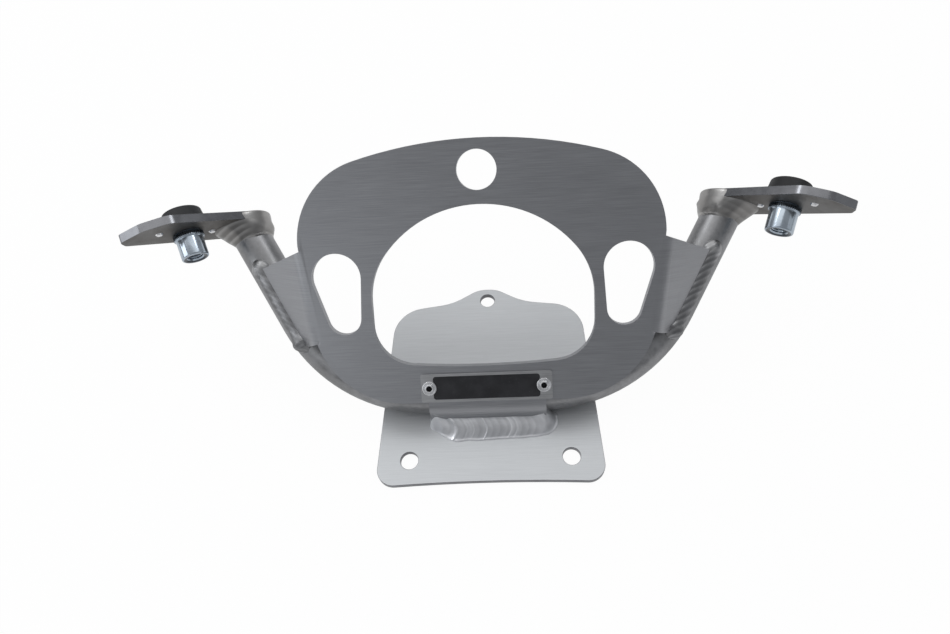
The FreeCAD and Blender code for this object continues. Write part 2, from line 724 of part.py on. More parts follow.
def tab_plate(label, side):
    body = node(doc.addObject("PartDesign::Body", f"{label}_tab_body"), f"{label}_tab")
    corners = [
        (root_edge, near_edge),
        (f"{nut_along} + Sizes.tab_bevel_start", near_edge),
        (f"{nut_along} + Sizes.tab_bevel_mid", f"{near_edge} + Sizes.tab_bevel_depth"),
        (f"{nut_along} + Sizes.tab_tip_reach", f"{far_edge} - Sizes.tab_tip_cut"),
        (f"{nut_along} + Sizes.tab_tip_reach - Sizes.tab_tip_cut", far_edge),
        (root_edge, far_edge),
    ]
    corners = [(tab_along(side, x), y) for x, y in corners]
    sketch = new_sketch(body, f"{label}_tab_outline")
    polygon(sketch, corners)
    feature = pad(body, sketch, "Sizes.tab_thickness")
    groups = {
        "root": ([corners[0], corners[5]], "Sizes.tab_width / 2 - Sizes.tab_root_flat"),
        "bevel": ([corners[1], corners[2]], "Sizes.tab_bevel_radius"),
        "tip": ([corners[3], corners[4]], "Sizes.tab_tip_radius"),
    }
    for name, (places, radius) in groups.items():
        points = [spot(*place) for place in places]
        feature = round_corners(body, feature, points, radius, f"{label}_tab_{name}_rounding")
    holes = new_sketch(body, f"{label}_tab_holes")
    circle(holes, tab_along(side, nut_along), nut_over, "Sizes.nut_body_dia")
    for place in rivet_places():
        circle(holes, tab_along(side, place), rivet_over, "Sizes.tab_rivet_dia")
    cut_through(body, holes)
    body.Placement = tab_frame(side)


def rivet_places():
    return [f"{nut_along} + Sizes.tab_rivet_outer", f"{nut_along} - Sizes.tab_rivet_inner"]


rivet_over = f"{nut_over} - Sizes.tab_rivet_shift"


def nut_frame(side, lift=0):
    return tab_frame(side, value(nut_along), value(nut_over), lift)


def rivet_nut(label, side):
    tab_top = value("Sizes.tab_thickness")
    drop = value("Sizes.nut_body_length")
    barrel = primitive(
        "Part::Cylinder", f"{label}_nut_barrel", nut_frame(side, -drop),
        Radius="Sizes.nut_body_dia / 2", Height="Sizes.nut_body_length + Sizes.tab_thickness",
    )
    doc.recompute()
    rounded = doc.addObject("Part::Fillet", f"{label}_nut_barrel_rounded")
    rounded.Base = barrel
    low_edge = min(range(len(barrel.Shape.Edges)), key=lambda k: lift_of(barrel.Shape.Edges[k], side))
    radius = value("Sizes.nut_end_radius")
    rounded.Edges = [(low_edge + 1, radius, radius)]
    collar = primitive(
        "Part::Cylinder", f"{label}_nut_collar", nut_frame(side, -value("Sizes.nut_collar_length")),
        Radius="Sizes.nut_collar_dia / 2", Height="Sizes.nut_collar_length",
    )
    flange = primitive(
        "Part::Cylinder", f"{label}_nut_flange", nut_frame(side, tab_top),
        Radius="Sizes.nut_flange_dia / 2", Height="Sizes.nut_flange_thickness",
    )
    bore = primitive(
        "Part::Cylinder", f"{label}_nut_bore", nut_frame(side, -drop), Radius="Sizes.nut_bore_dia / 2",
        Height="Sizes.nut_body_length + Sizes.tab_thickness + Sizes.nut_flange_thickness",
    )
    blank = joined(f"{label}_nut_blank", rounded, collar, flange)
    node(minus(f"{label}_nut", blank, bore), f"{label}_rivet_nut")


def lift_of(edge, side):
    return edge.CenterOfMass.dot(mirrored(tab_up, side))


def rubber_pad(label, side):
    frame = nut_frame(side, value("Sizes.tab_thickness"))
    cone = primitive(
        "Part::Cone", f"{label}_pad_cone", frame,
        Radius1="Sizes.pad_base_dia / 2", Radius2="Sizes.pad_top_dia / 2", Height="Sizes.pad_height",
    )
    recess = primitive(
        "Part::Cylinder", f"{label}_pad_recess", frame,
        Radius="Sizes.nut_flange_dia / 2", Height="Sizes.nut_flange_thickness",
    )
    bore = primitive(
        "Part::Cylinder", f"{label}_pad_bore", frame,
        Radius="Sizes.pad_bore_dia / 2", Height="Sizes.pad_height",
    )
    node(minus(f"{label}_pad_ring", cone, recess, bore), f"{label}_pad")


def tab_rivets(label, side):
    parts = []
    head_height = value("Sizes.tab_rivet_head_height")
    for index, place in enumerate(rivet_places()):
        frame = tab_frame(side, value(place), value(rivet_over))
        shank = primitive(
            "Part::Cylinder", f"{label}_tab_rivet_shank_{index}", frame,
            Radius="Sizes.tab_rivet_dia / 2", Height="Sizes.tab_thickness",
        )
        head = primitive(
            "Part::Cone", f"{label}_tab_rivet_head_{index}",
            tab_frame(side, value(place), value(rivet_over), -head_height),
            Radius1="Sizes.tab_rivet_dia / 2", Radius2="Sizes.tab_rivet_head_dia / 2",
            Height="Sizes.tab_rivet_head_height",
        )
        parts.append(joined(f"{label}_tab_rivet_{index}", shank, head))
    pair = doc.addObject("Part::Compound", f"{label}_tab_rivet_pair")
    pair.Links = parts
    node(pair, f"{label}_tab_rivets")


for label, side in sides.items():
    tab_plate(label, side)
    rivet_nut(label, side)
    rubber_pad(label, side)
    tab_rivets(label, side)

# Nameplate on the front face, held by two blind rivets
plate_body = node(doc.addObject("PartDesign::Body", "Nameplate"), "nameplate")
plate_half = ("Sizes.plate_width / 2", "Sizes.plate_height / 2")
plate_corners = [
    (f"{x_sign}{plate_half[0]}", f"{y_sign}{plate_half[1]}")
    for x_sign, y_sign in (("-", "-"), ("", "-"), ("", ""), ("-", ""))
]
plate_sketch = new_sketch(plate_body, "plate_outline")
polygon(plate_sketch, plate_corners)
plate_pad = pad(plate_body, plate_sketch, "Sizes.plate_thickness")
plate_points = [spot(*corner) for corner in plate_corners]
round_corners(plate_body, plate_pad, plate_points, "Sizes.plate_corner_radius", "plate_rounding")
plate_holes = new_sketch(plate_body, "plate_holes")
circle(plate_holes, "Sizes.rivet_spacing / 2", None, "Sizes.rivet_shank_dia")
circle(plate_holes, "-Sizes.rivet_spacing / 2", None, "Sizes.rivet_shank_dia")
cut_through(plate_body, plate_holes)
plate_place = sheet_foot + up_sheet * value("Sizes.plate_level") + sheet_normal * thickness
plate_body.Placement = placed(plate_place, across, up_sheet)

plate_front = value("Sizes.plate_thickness")
for label, side in sides.items():
    centre = plate_place + across * side * value("Sizes.rivet_spacing / 2")
    head_place = centre + sheet_normal * plate_front
    tail_end = centre - sheet_normal * (thickness + value("Sizes.rivet_tail_length"))
    shank = primitive(
        "Part::Cylinder", f"{label}_rivet_shank", placed(tail_end, across, up_sheet),
        Radius="Sizes.rivet_shank_dia / 2",
        Height="Sizes.plate_thickness + Sizes.sheet_thickness + Sizes.rivet_tail_length",
    )
    tail = primitive(
        "Part::Cylinder", f"{label}_rivet_tail", placed(tail_end, across, up_sheet),
        Radius="Sizes.rivet_tail_dia / 2", Height="Sizes.rivet_tail_length",
    )
    head = primitive(
        "Part::Cone", f"{label}_rivet_head", placed(head_place, across, up_sheet),
        Radius1="Sizes.rivet_head_dia / 2", Radius2="Sizes.rivet_crown_dia / 2",
        Height="Sizes.rivet_head_height",
    )
    mandrel = primitive(
        "Part::Cylinder", f"{label}_rivet_mandrel", placed(head_place, across, up_sheet),
        Radius="Sizes.rivet_mandrel_dia / 2", Height="Sizes.rivet_head_height",
    )
    blank = joined(f"{label}_rivet_blank", shank, tail, head)
    node(minus(f"{label}_rivet", blank, mandrel), f"nameplate_rivet_{label}")


# Weld beads: round bars laid in the joints, less the pieces that they join
def bead(name, start, end, size_expression):
    way = end - start
    other = Vector(0, 0, 1) if abs(way.z) < 0.9 * way.Length else Vector(1, 0, 0)
    x_axis = other.cross(way)
    x_axis.normalize()
    z_axis = toward(Vector(0, 0, 0), way, 1)
    frame = placed(start, x_axis, z_axis.cross(x_axis))
    bar = primitive("Part::Cylinder", f"{name}_bar", frame, Radius=size_expression)
    bar.Height = way.Length
    ends = []
    for index, place in enumerate((start, end)):
        ball = primitive("Part::Sphere", f"{name}_end_{index}", placed(place, across, Vector(0, 1, 0)),
                         Radius=size_expression)
        ends.append(ball)
    return joined(f"{name}_blank", bar, *ends)


ground_half = value(end_block) / 2
ground_corner = Vector(-ground_half, tube_foot.y - ground_half, base_top - value("Sizes.tube_dia"))
ground = primitive(
    "Part::Box", "below_base_top", FreeCAD.Placement(ground_corner, FreeCAD.Rotation()),
    Length=end_block, Width=end_block, Height="Sizes.tube_dia",
)
tongue_front = tube_foot.y - tube_radius - thickness
weld_size = value("Sizes.base_weld_size")
weld_half = tongue_half + value("Sizes.base_weld_overrun") - weld_size
base_bead = bead(
    "base_bead", Vector(-weld_half, tongue_front, base_top), Vector(weld_half, tongue_front, base_top),
    "Sizes.base_weld_size",
)
node(minus("BaseWeld", base_bead, front_plate, tube_outside, ground), "base_weld")

tube_weld_half = value("Sizes.tube_weld_length / 2 - Sizes.tube_weld_size")
tube_weld_y = tube_foot.y + tube_radius - value("Sizes.tube_weld_size") / 2
tube_bead = bead(
    "tube_bead",
    Vector(-tube_weld_half, tube_weld_y, base_top),
    Vector(tube_weld_half, tube_weld_y, base_top),
    "Sizes.tube_weld_size",
)
node(minus("TubeBaseWeld", tube_bead, tube_outside, ground), "tube_base_weld")

weld_bearing = math.radians(value("Sizes.wing_weld_angle"))
weld_way = arm_front * math.cos(weld_bearing) + arm_side * math.sin(weld_bearing)
groove = arm_corner + weld_way * value("Sizes.wing_weld_depth")
groove_low = groove + arm * value("Sizes.wing_low_end + Sizes.wing_weld_size")
groove_high = groove + arm * value("Sizes.wing_high_end + Sizes.wing_weld_overrun - Sizes.wing_weld_size")


# The bead of a tab flares from a ring on the tube to an oval on the tab, longer on the outer side
def tab_weld(label, side):
    height = value("Sizes.tab_weld_height")
    waist = value("Sizes.tab_weld_waist")
    shift = value("(Sizes.tab_weld_reach - Sizes.tab_weld_heel) / 2")
    ring = primitive(
        "Part::Circle", f"{label}_tab_weld_ring", tab_frame(side, 0, 0, -height),
        Radius="Sizes.tube_dia / 2",
    )
    middle = primitive(
        "Part::Circle", f"{label}_tab_weld_middle", tab_frame(side, waist / 2, 0, -height / 2),
        Radius="Sizes.tube_dia / 2 + Sizes.tab_weld_waist",
    )
    oval = primitive(
        "Part::Ellipse", f"{label}_tab_weld_oval", tab_frame(side, shift, 0),
        MajorRadius="(Sizes.tab_weld_reach + Sizes.tab_weld_heel) / 2",
        MinorRadius="Sizes.tab_weld_width / 2",
    )
    flare = doc.addObject("Part::Loft", f"{label}_tab_weld_flare")
    flare.Sections = [ring, middle, oval]
    flare.Solid = True
    node(minus(f"{label}_tab_weld_solid", flare, tube_solid), f"{label}_tab_weld")


for label, side in sides.items():
    wing_bead = bead(
        f"{label}_wing_bead", mirrored(groove_low, side), mirrored(groove_high, side),
        "Sizes.wing_weld_size",
    )
    node(minus(f"{label}_wing_weld_solid", wing_bead, front_plate, tube_outside), f"{label}_wing_weld")
    tab_weld(label, side)

doc.recompute()

# Every object has to be sound before anything is written
for item in doc.Objects:
    if {"Invalid", "Error"} & set(item.State):
        raise RuntimeError(f"{item.Name} is {item.State}")
for name, item in nodes.items():
    if item.Shape.isNull() or not item.Shape.isValid():
        raise RuntimeError(f"{name} has no sound shape")

os.makedirs("parts", exist_ok=True)
for name, item in nodes.items():
    item.Shape.exportStep(f"parts/{name}.step")
    print(name, len(item.Shape.Solids), round(item.Shape.Volume))
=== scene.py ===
import math

import bmesh
import bpy
import numpy as np
from mathutils import Matrix, Vector


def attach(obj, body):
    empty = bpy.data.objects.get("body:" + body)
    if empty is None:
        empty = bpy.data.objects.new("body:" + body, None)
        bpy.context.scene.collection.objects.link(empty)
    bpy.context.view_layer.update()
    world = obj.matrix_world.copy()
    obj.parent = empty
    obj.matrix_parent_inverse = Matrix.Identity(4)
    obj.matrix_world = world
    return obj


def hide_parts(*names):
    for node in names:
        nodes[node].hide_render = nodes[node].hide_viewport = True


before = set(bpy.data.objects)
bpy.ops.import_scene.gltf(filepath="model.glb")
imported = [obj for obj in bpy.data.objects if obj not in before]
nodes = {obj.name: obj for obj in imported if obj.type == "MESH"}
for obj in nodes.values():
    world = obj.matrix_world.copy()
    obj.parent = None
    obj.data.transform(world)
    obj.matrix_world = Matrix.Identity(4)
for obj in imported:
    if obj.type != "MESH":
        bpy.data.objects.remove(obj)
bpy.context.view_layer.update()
mm = 0.001
print("frame loaded with", len(nodes), "nodes")

# sizes shared by the beads, nuts and pads, as the solids have them
stay = {
    "baseTop": 3 * mm,
    "tubeRadius": 9 * mm,
    "tubeSetback": 29.5 * mm,
    "tubeTilt": 25.2,
    "armSpread": 60.9,
    "armVertex": 69.3 * mm,
    "armLength": 96.7 * mm,
    "sheetThickness": 4 * mm,
    "sheetAngle": 41.4,
    "tabThickness": 4 * mm,
    "tabLean": 19.4,
    "tabSlope": 68.0,
    "tabHeading": 47.4,
    "nutReach": 29.8 * mm,
    "nutDrop": 1.9 * mm,
}


def unit(v):
    v = np.asarray(v, float)
    return v / np.linalg.norm(v)


def turned(degrees):
    return math.cos(math.radians(degrees)), math.sin(math.radians(degrees))


# directions of the stay: across, up the sheet, along the right arm, out of the right tab
across = np.array([1.0, 0.0, 0.0])
upSheet = np.array([0.0, *turned(stay["sheetAngle"])])
sheetNormal = np.cross(across, upSheet)
upBend = np.array([0.0, *turned(stay["tubeTilt"])])
tubeFoot = np.array([0.0, stay["tubeSetback"], stay["baseTop"] + stay["tubeRadius"]])
sheetFront = tubeFoot + sheetNormal * (stay["tubeRadius"] + stay["sheetThickness"])
armCos, armSin = turned(stay["armSpread"])
arm = across * armCos + upBend * armSin
armCorner = tubeFoot + across * stay["armVertex"]
armFront = unit(sheetNormal - arm * (arm @ sheetNormal))
armSide = np.cross(arm, armFront)
leanCos, leanSin = turned(stay["tabLean"])
slopeCos, slopeSin = turned(stay["tabSlope"])
headCos, headSin = turned(stay["tabHeading"])
tabUp = np.array([leanSin, leanCos * slopeSin, leanCos * slopeCos])
levelOut = unit(across - tabUp * tabUp[0])
levelFar = np.cross(tabUp, levelOut)
tabOut = levelOut * headCos - levelFar * headSin
tabFar = levelOut * headSin + levelFar * headCos
tabRoot = armCorner + arm * stay["armLength"]
nutFoot = tabRoot + tabOut * stay["nutReach"] + tabFar * stay["nutDrop"]
sides = {"left": -1.0, "right": 1.0}


# mesh making


def ringQuads(points):
    # points[i, j] is a grid: j runs round a closed ring, i from ring to ring;
    # each face joins (i, j), (i, j+1), (i+1, j+1), (i+1, j)
    rows, cols, _ = points.shape
    index = np.arange(rows * cols).reshape(rows, cols)
    nextCol = np.roll(index, -1, axis=1)
    return index, np.stack([index[:-1], nextCol[:-1], nextCol[1:], index[1:]], axis=-1).reshape(-1, 4)


def shellPiece(name, points, capEnds=True, flip=False):
    # a skin over the rings; the first and the last may be closed by one face each
    index, quads = ringQuads(points)
    faces = quads.tolist()
    if capEnds:
        faces.append(index[0, ::-1].tolist())
        faces.append(index[-1].tolist())
    mesh = bpy.data.meshes.new(name)
    mesh.from_pydata(points.reshape(-1, 3), [], faces)
    if flip:
        mesh.flip_normals()
    mesh.validate()
    mesh.update()
    mesh.shade_smooth()
    piece = bpy.data.objects.new(name, mesh)
    bpy.context.scene.collection.objects.link(piece)
    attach(piece, "root")
    return piece


def paintPoints(piece, name, values):
    # a value per vertex that a material reads by name
    layer = piece.data.attributes.new(name, "FLOAT", "POINT")
    layer.data.foreach_set("value", np.ascontiguousarray(values, dtype=np.float32).ravel())


def spunPoints(profile, foot, axis, side, turns, swell=None):
    # revolution: point(i, j) = foot + axis * height[i] + radius[i] * (cos j, sin j);
    # swell adds to the radius
    profile = np.asarray(profile, float) * mm
    around = np.linspace(0, 2 * np.pi, turns, endpoint=False)
    first = unit(np.cross(axis, across))
    second = np.cross(axis, first)
    radius = np.repeat(profile[:, :1], turns, axis=1)
    if swell is not None:
        radius = radius + swell(profile[:, 1:] / mm, around[None, :]) * mm
    ring = np.cos(around)[:, None] * first + np.sin(around)[:, None] * second
    points = foot + profile[:, 1, None, None] * axis + radius[..., None] * ring[None]
    points[..., 0] *= side
    return points


def roundedProfile(corners, radius, steps=5):
    # open outline of (radius, height) corners; every inner corner becomes a short arc by quadratic blending
    corners = np.asarray(corners, float)
    t = np.linspace(0, 1, steps)[:, None]
    rows = [corners[:1]]
    for before, corner, after in zip(corners[:-2], corners[1:-1], corners[2:]):
        cut = min(radius, np.linalg.norm(before - corner) / 2.2, np.linalg.norm(after - corner) / 2.2)
        start = corner + unit(before - corner) * cut
        end = corner + unit(after - corner) * cut
        rows.append((1 - t) ** 2 * start + 2 * t * (1 - t) * corner + t ** 2 * end)
    rows.append(corners[-1:])
    return np.concatenate(rows)


edgeBreak = {"steps": 2, "angle": math.radians(35), "flatAngle": math.radians(0.4), "merge": 2e-6}


def roundedCopy(nodeName, name, width, s):
    # the node's own solid with its edges broken by a small bevel
    mesh = nodes[nodeName].data.copy()
    mesh.name = name
    work = bmesh.new()
    work.from_mesh(mesh)
    bmesh.ops.remove_doubles(work, verts=work.verts, dist=s["merge"])
    bmesh.ops.dissolve_limit(work, angle_limit=s["flatAngle"], verts=work.verts, edges=work.edges)
    work.to_mesh(mesh)
    work.free()
    mesh.materials.clear()
    piece = bpy.data.objects.new(name, mesh)
    bpy.context.scene.collection.objects.link(piece)
    mesh.shade_smooth()
    mesh.set_sharp_from_angle(angle=s["angle"])
    edge = piece.modifiers.new("broken edge", "BEVEL")
    edge.width = width
    edge.segments = s["steps"]
    edge.limit_method = "ANGLE"
    edge.angle_limit = s["angle"]
    edge.harden_normals = True
    edge.material = 1
    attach(piece, "root")
    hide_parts(nodeName)
    return piece


# shader groups


def newGroup(name, inputs, outputs):
    group = bpy.data.node_groups.new(name, "ShaderNodeTree")
    for label, kind, default in inputs:
        socket = group.interface.new_socket(label, in_out="INPUT", socket_type=kind)
        if default is not None:
            socket.default_value = default
    for label, kind in outputs:
        group.interface.new_socket(label, in_out="OUTPUT", socket_type=kind)
    return group, group.nodes.new("NodeGroupInput"), group.nodes.new("NodeGroupOutput")


def addNode(tree, kind, values=None, **settings):
    node = tree.nodes.new(kind)
    for key, setting in settings.items():
        setattr(node, key, setting)
    for key, setting in (values or {}).items():
        node.inputs[key].default_value = setting
    return node


def mathNode(tree, operation, first, second=0.0, third=None, clamp=False):
    node = addNode(tree, "ShaderNodeMath", operation=operation, use_clamp=clamp)
    for socket, item in zip(node.inputs, (first, second, third)):
        if item is None:
            continue
        if isinstance(item, (int, float)):
            socket.default_value = item
        else:
            tree.links.new(item, socket)
    return node.outputs[0]


def mixColour(tree, factor, first, second):
    node = addNode(tree, "ShaderNodeMix", data_type="RGBA")
    for key, item in (("Factor_Float", factor), ("A_Color", first), ("B_Color", second)):
        socket = next(s for s in node.inputs if s.identifier == key)
        if isinstance(item, (int, float, tuple)):
            socket.default_value = item
        else:
            tree.links.new(item, socket)
    return next(s for s in node.outputs if s.identifier == "Result_Color")


# noise levels between which a mark goes from none to full
spans = {
    "line": (0.32, 0.68), "cloud": (0.35, 0.7), "speck": (0.66, 0.74), "dust": (0.4, 0.7),
    "crest": (0.2, 0.85), "smut": (0.38, 0.68),
}


def rampNode(tree, source, span, top=1.0):
    node = addNode(tree, "ShaderNodeMapRange", interpolation_type="SMOOTHSTEP")
    for socket, number in zip(node.inputs[1:5], (*span, 0.0, top)):
        socket.default_value = number
    tree.links.new(source, node.inputs[0])
    return node.outputs[0]


brushNoise = {"fineDetail": 4.0, "broadDetail": 3.0, "rough": 0.6}


def makeBrushGroup(s):
    # long fine scratches along the stretched axis: two noises, fine and broad, on squeezed coordinates
    group, entry, leave = newGroup(
        "brushed lines",
        [("Vector", "NodeSocketVector", None), ("Fine", "NodeSocketFloat", 900.0),
         ("Broad", "NodeSocketFloat", 220.0)],
        [("Line", "NodeSocketFloat"), ("Band", "NodeSocketFloat")],
    )
    for label, socket, detail in (("Line", "Fine", s["fineDetail"]), ("Band", "Broad", s["broadDetail"])):
        noise = addNode(group, "ShaderNodeTexNoise", {"Detail": detail, "Roughness": s["rough"]})
        group.links.new(entry.outputs["Vector"], noise.inputs["Vector"])
        group.links.new(entry.outputs[socket], noise.inputs["Scale"])
        group.links.new(noise.outputs["Fac"], leave.inputs[label])
    return group


markNoise = {"cloudDetail": 5.0, "cloudRough": 0.55, "speckDetail": 2.0, "speckRough": 0.5, "speckFine": 14.0}


def makeStainGroup(s):
    # soft clouds and a few small specks: handling marks on bare metal
    group, entry, leave = newGroup(
        "handling marks",
        [("Vector", "NodeSocketVector", None), ("Scale", "NodeSocketFloat", 30.0)],
        [("Cloud", "NodeSocketFloat"), ("Speck", "NodeSocketFloat")],
    )
    cloud = addNode(group, "ShaderNodeTexNoise", {"Detail": s["cloudDetail"], "Roughness": s["cloudRough"]})
    speck = addNode(group, "ShaderNodeTexNoise", {"Detail": s["speckDetail"], "Roughness": s["speckRough"]})
    group.links.new(entry.outputs["Vector"], cloud.inputs["Vector"])
    group.links.new(entry.outputs["Scale"], cloud.inputs["Scale"])
    group.links.new(entry.outputs["Vector"], speck.inputs["Vector"])
    fine = mathNode(group, "MULTIPLY", entry.outputs["Scale"], s["speckFine"])
    group.links.new(fine, speck.inputs["Scale"])
    group.links.new(cloud.outputs["Fac"], leave.inputs["Cloud"])
    group.links.new(rampNode(group, speck.outputs["Fac"], spans["speck"]), leave.inputs["Speck"])
    return group


brushGroup = makeBrushGroup(brushNoise)
stainGroup = makeStainGroup(markNoise)


def newMaterial(name, **sockets):
    material = bpy.data.materials.new(name)
    material.use_nodes = True
    shader = material.node_tree.nodes["Principled BSDF"]
    for key, setting in sockets.items():
        label = key.replace("_", " ")
        shader.inputs[label].default_value = setting
    return material, material.node_tree, shader


def objectCoords(tree, scale=(1, 1, 1), tilt=0.0):
    # the place in the frame, tilted back about X, then divided by the scale
    coords = addNode(tree, "ShaderNodeTexCoord")
    mapping = addNode(tree, "ShaderNodeMapping", vector_type="TEXTURE")
    mapping.inputs["Scale"].default_value = scale
    mapping.inputs["Rotation"].default_value = (math.radians(tilt), 0, 0)
    tree.links.new(coords.outputs["Object"], mapping.inputs["Vector"])
    return mapping.outputs["Vector"]


def placeGroup(tree, group, vector, **numbers):
    node = addNode(tree, "ShaderNodeGroup")
    node.node_tree = group
    tree.links.new(vector, node.inputs["Vector"])
    for key, number in numbers.items():
        node.inputs[key].default_value = number
    return node


def bumpNode(tree, shader, height, strength, distance):
    bump = addNode(tree, "ShaderNodeBump", {"Strength": strength, "Distance": distance})
    tree.links.new(height, bump.inputs["Height"])
    tree.links.new(bump.outputs["Normal"], shader.inputs["Normal"])


plainMetal = {
    "metallic": 1.0, "stretch": (1, 1, 1), "tilt": 0.0, "lineShare": 0.5, "clouds": 60.0, "speckDepth": 0.2,
    "roughSpan": 0.1, "cloudRough": 0.1, "bump": 0.1, "bumpDepth": 0.00004,
}


def brushedMaterial(name, own):
    # two tones mixed by brush lines and clouds; roughness and bump follow the lines
    s = {**plainMetal, **own}
    material, tree, shader = newMaterial(name, Metallic=s["metallic"])
    along = objectCoords(tree, s["stretch"], s["tilt"])
    lines = placeGroup(tree, brushGroup, along, Fine=s["fine"], Broad=s["broad"])
    marks = placeGroup(tree, stainGroup, objectCoords(tree), Scale=s["clouds"])
    lineMix = mathNode(tree, "MULTIPLY", lines.outputs["Line"], s["lineShare"])
    lineMix = mathNode(tree, "MULTIPLY_ADD", lines.outputs["Band"], 1 - s["lineShare"], lineMix)
    tone = rampNode(tree, lineMix, spans["line"])
    colour = mixColour(tree, tone, s["dark"], s["light"])
    cloud = rampNode(tree, marks.outputs["Cloud"], spans["cloud"], s["cloudDepth"])
    colour = mixColour(tree, cloud, colour, s["cloudTone"])
    speck = mathNode(tree, "MULTIPLY", marks.outputs["Speck"], s["speckDepth"])
    colour = mixColour(tree, speck, colour, s["dark"])
    tree.links.new(colour, shader.inputs["Base Color"])
    rough = mathNode(tree, "MULTIPLY_ADD", tone, s["roughSpan"], s["rough"])
    rough = mathNode(tree, "MULTIPLY_ADD", cloud, s["cloudRough"], rough)
    tree.links.new(rough, shader.inputs["Roughness"])
    bumpNode(tree, shader, lineMix, s["bump"], s["bumpDepth"])
    return material


metals = {
    "sheet": {
        "stretch": (60, 1, 10000), "tilt": stay["sheetAngle"], "fine": 3200.0, "broad": 700.0,
        "lineShare": 0.85, "clouds": 14.0, "cloudDepth": 0.2, "cloudTone": (0.27, 0.272, 0.285, 1),
        "dark": (0.285, 0.287, 0.30, 1), "light": (0.36, 0.363, 0.378, 1),
        "rough": 0.32, "cloudRough": 0.08, "bumpDepth": 0.00003,
    },
    "base": {
        "metallic": 0.7, "stretch": (40, 1, 1), "fine": 2600.0, "broad": 520.0, "lineShare": 0.8,
        "clouds": 13.0, "cloudDepth": 0.18, "cloudTone": (0.54, 0.55, 0.56, 1),
        "dark": (0.56, 0.57, 0.58, 1), "light": (0.63, 0.64, 0.65, 1), "speckDepth": 0.15,
        "rough": 0.5, "roughSpan": 0.08, "cloudRough": 0.06, "bump": 0.07, "bumpDepth": 0.00003,
    },
    "tube": {
        "fine": 420.0, "broad": 120.0, "clouds": 40.0, "cloudDepth": 0.5,
        "cloudTone": (0.20, 0.197, 0.195, 1), "dark": (0.25, 0.25, 0.255, 1), "light": (0.36, 0.36, 0.37, 1),
        "rough": 0.30, "roughSpan": 0.12, "cloudRough": 0.12, "bump": 0.12, "bumpDepth": 0.00006,
    },
    "tab": {
        "fine": 520.0, "broad": 130.0, "clouds": 55.0, "cloudDepth": 0.4, "speckDepth": 0.3,
        "cloudTone": (0.24, 0.235, 0.23, 1), "dark": (0.32, 0.318, 0.32, 1), "light": (0.44, 0.438, 0.44, 1),
        "rough": 0.34, "roughSpan": 0.14, "cloudRough": 0.15, "bump": 0.15, "bumpDepth": 0.00006,
    },
    # tab undersides: these dark tones are painted shade
    "tabUnder": {
        "fine": 620.0, "broad": 150.0, "cloudDepth": 0.6, "speckDepth": 0.3,
        "cloudTone": (0.105, 0.095, 0.085, 1), "dark": (0.13, 0.126, 0.122, 1),
        "light": (0.20, 0.196, 0.192, 1),
        "rough": 0.36, "roughSpan": 0.14, "cloudRough": 0.15, "bump": 0.15, "bumpDepth": 0.00006,
    },
    "edge": {
        "fine": 700.0, "broad": 200.0, "cloudDepth": 0.3, "cloudTone": (0.34, 0.34, 0.355, 1),
        "dark": (0.44, 0.44, 0.46, 1), "light": (0.6, 0.6, 0.62, 1), "rough": 0.28, "roughSpan": 0.12,
    },
    # side faces of the base and tabs: darker than the faces, as painted shade
    "shadedCutEdge": {
        "fine": 300.0, "broad": 90.0, "lineShare": 0.4, "cloudDepth": 0.3,
        "cloudTone": (0.15, 0.152, 0.163, 1), "dark": (0.20, 0.202, 0.214, 1),
        "light": (0.26, 0.262, 0.274, 1), "speckDepth": 0.05,
        "rough": 0.2, "roughSpan": 0.05, "cloudRough": 0.06, "bump": 0.05,
    },
    "nameplate": {
        "stretch": (20, 1, 1), "fine": 2000.0, "broad": 400.0, "lineShare": 0.7, "cloudDepth": 0.2,
        "cloudTone": (0.33, 0.33, 0.335, 1), "dark": (0.36, 0.36, 0.365, 1),
        "light": (0.47, 0.47, 0.475, 1), "rough": 0.3,
    },
}
sheetMetal = brushedMaterial("brushed sheet aluminium", metals["sheet"])
baseMetal = brushedMaterial("base plate aluminium", metals["base"])
tubeMetal = brushedMaterial("drawn tube aluminium", metals["tube"])
tabMetal = brushedMaterial("tab aluminium", metals["tab"])
tabUndersideShade = brushedMaterial("tab underside with painted shade", metals["tabUnder"])
edgeMetal = brushedMaterial("broken edge aluminium", metals["edge"])
shadedCutEdgeMetal = brushedMaterial("cut edge aluminium with painted shade", metals["shadedCutEdge"])
nameplateMetal = brushedMaterial("nameplate sheet", metals["nameplate"])


def weldMaterial(name, s):
    # the ripple attribute is painted highlight and shade: it lightens the crests, ridges, rims and blobs, and
    # darkens the flares' side under the tab; the heat attribute tints what the torch stained, and under the
    # tabs it is painted shade
    material, tree, shader = newMaterial(name, Metallic=1.0)
    ripple = addNode(tree, "ShaderNodeAttribute", attribute_name="ripple").outputs["Fac"]
    heat = addNode(tree, "ShaderNodeAttribute", attribute_name="heat").outputs["Fac"]
    marks = placeGroup(tree, stainGroup, objectCoords(tree), Scale=s["clouds"])
    crest = rampNode(tree, ripple, spans["crest"])
    colour = mixColour(tree, crest, s["valley"], s["crest"])
    cloud = rampNode(tree, marks.outputs["Cloud"], spans["smut"], s["cloudDepth"])
    colour = mixColour(tree, cloud, colour, s["smut"])
    tint = mathNode(tree, "MULTIPLY", heat, s["heatDepth"], clamp=True)
    colour = mixColour(tree, tint, colour, s["heatTone"])
    tree.links.new(colour, shader.inputs["Base Color"])
    rough = mathNode(tree, "MULTIPLY_ADD", cloud, s["cloudRough"], s["rough"])
    tree.links.new(rough, shader.inputs["Roughness"])
    bumpNode(tree, shader, marks.outputs["Cloud"], s["bump"], s["bumpDepth"])
    return material
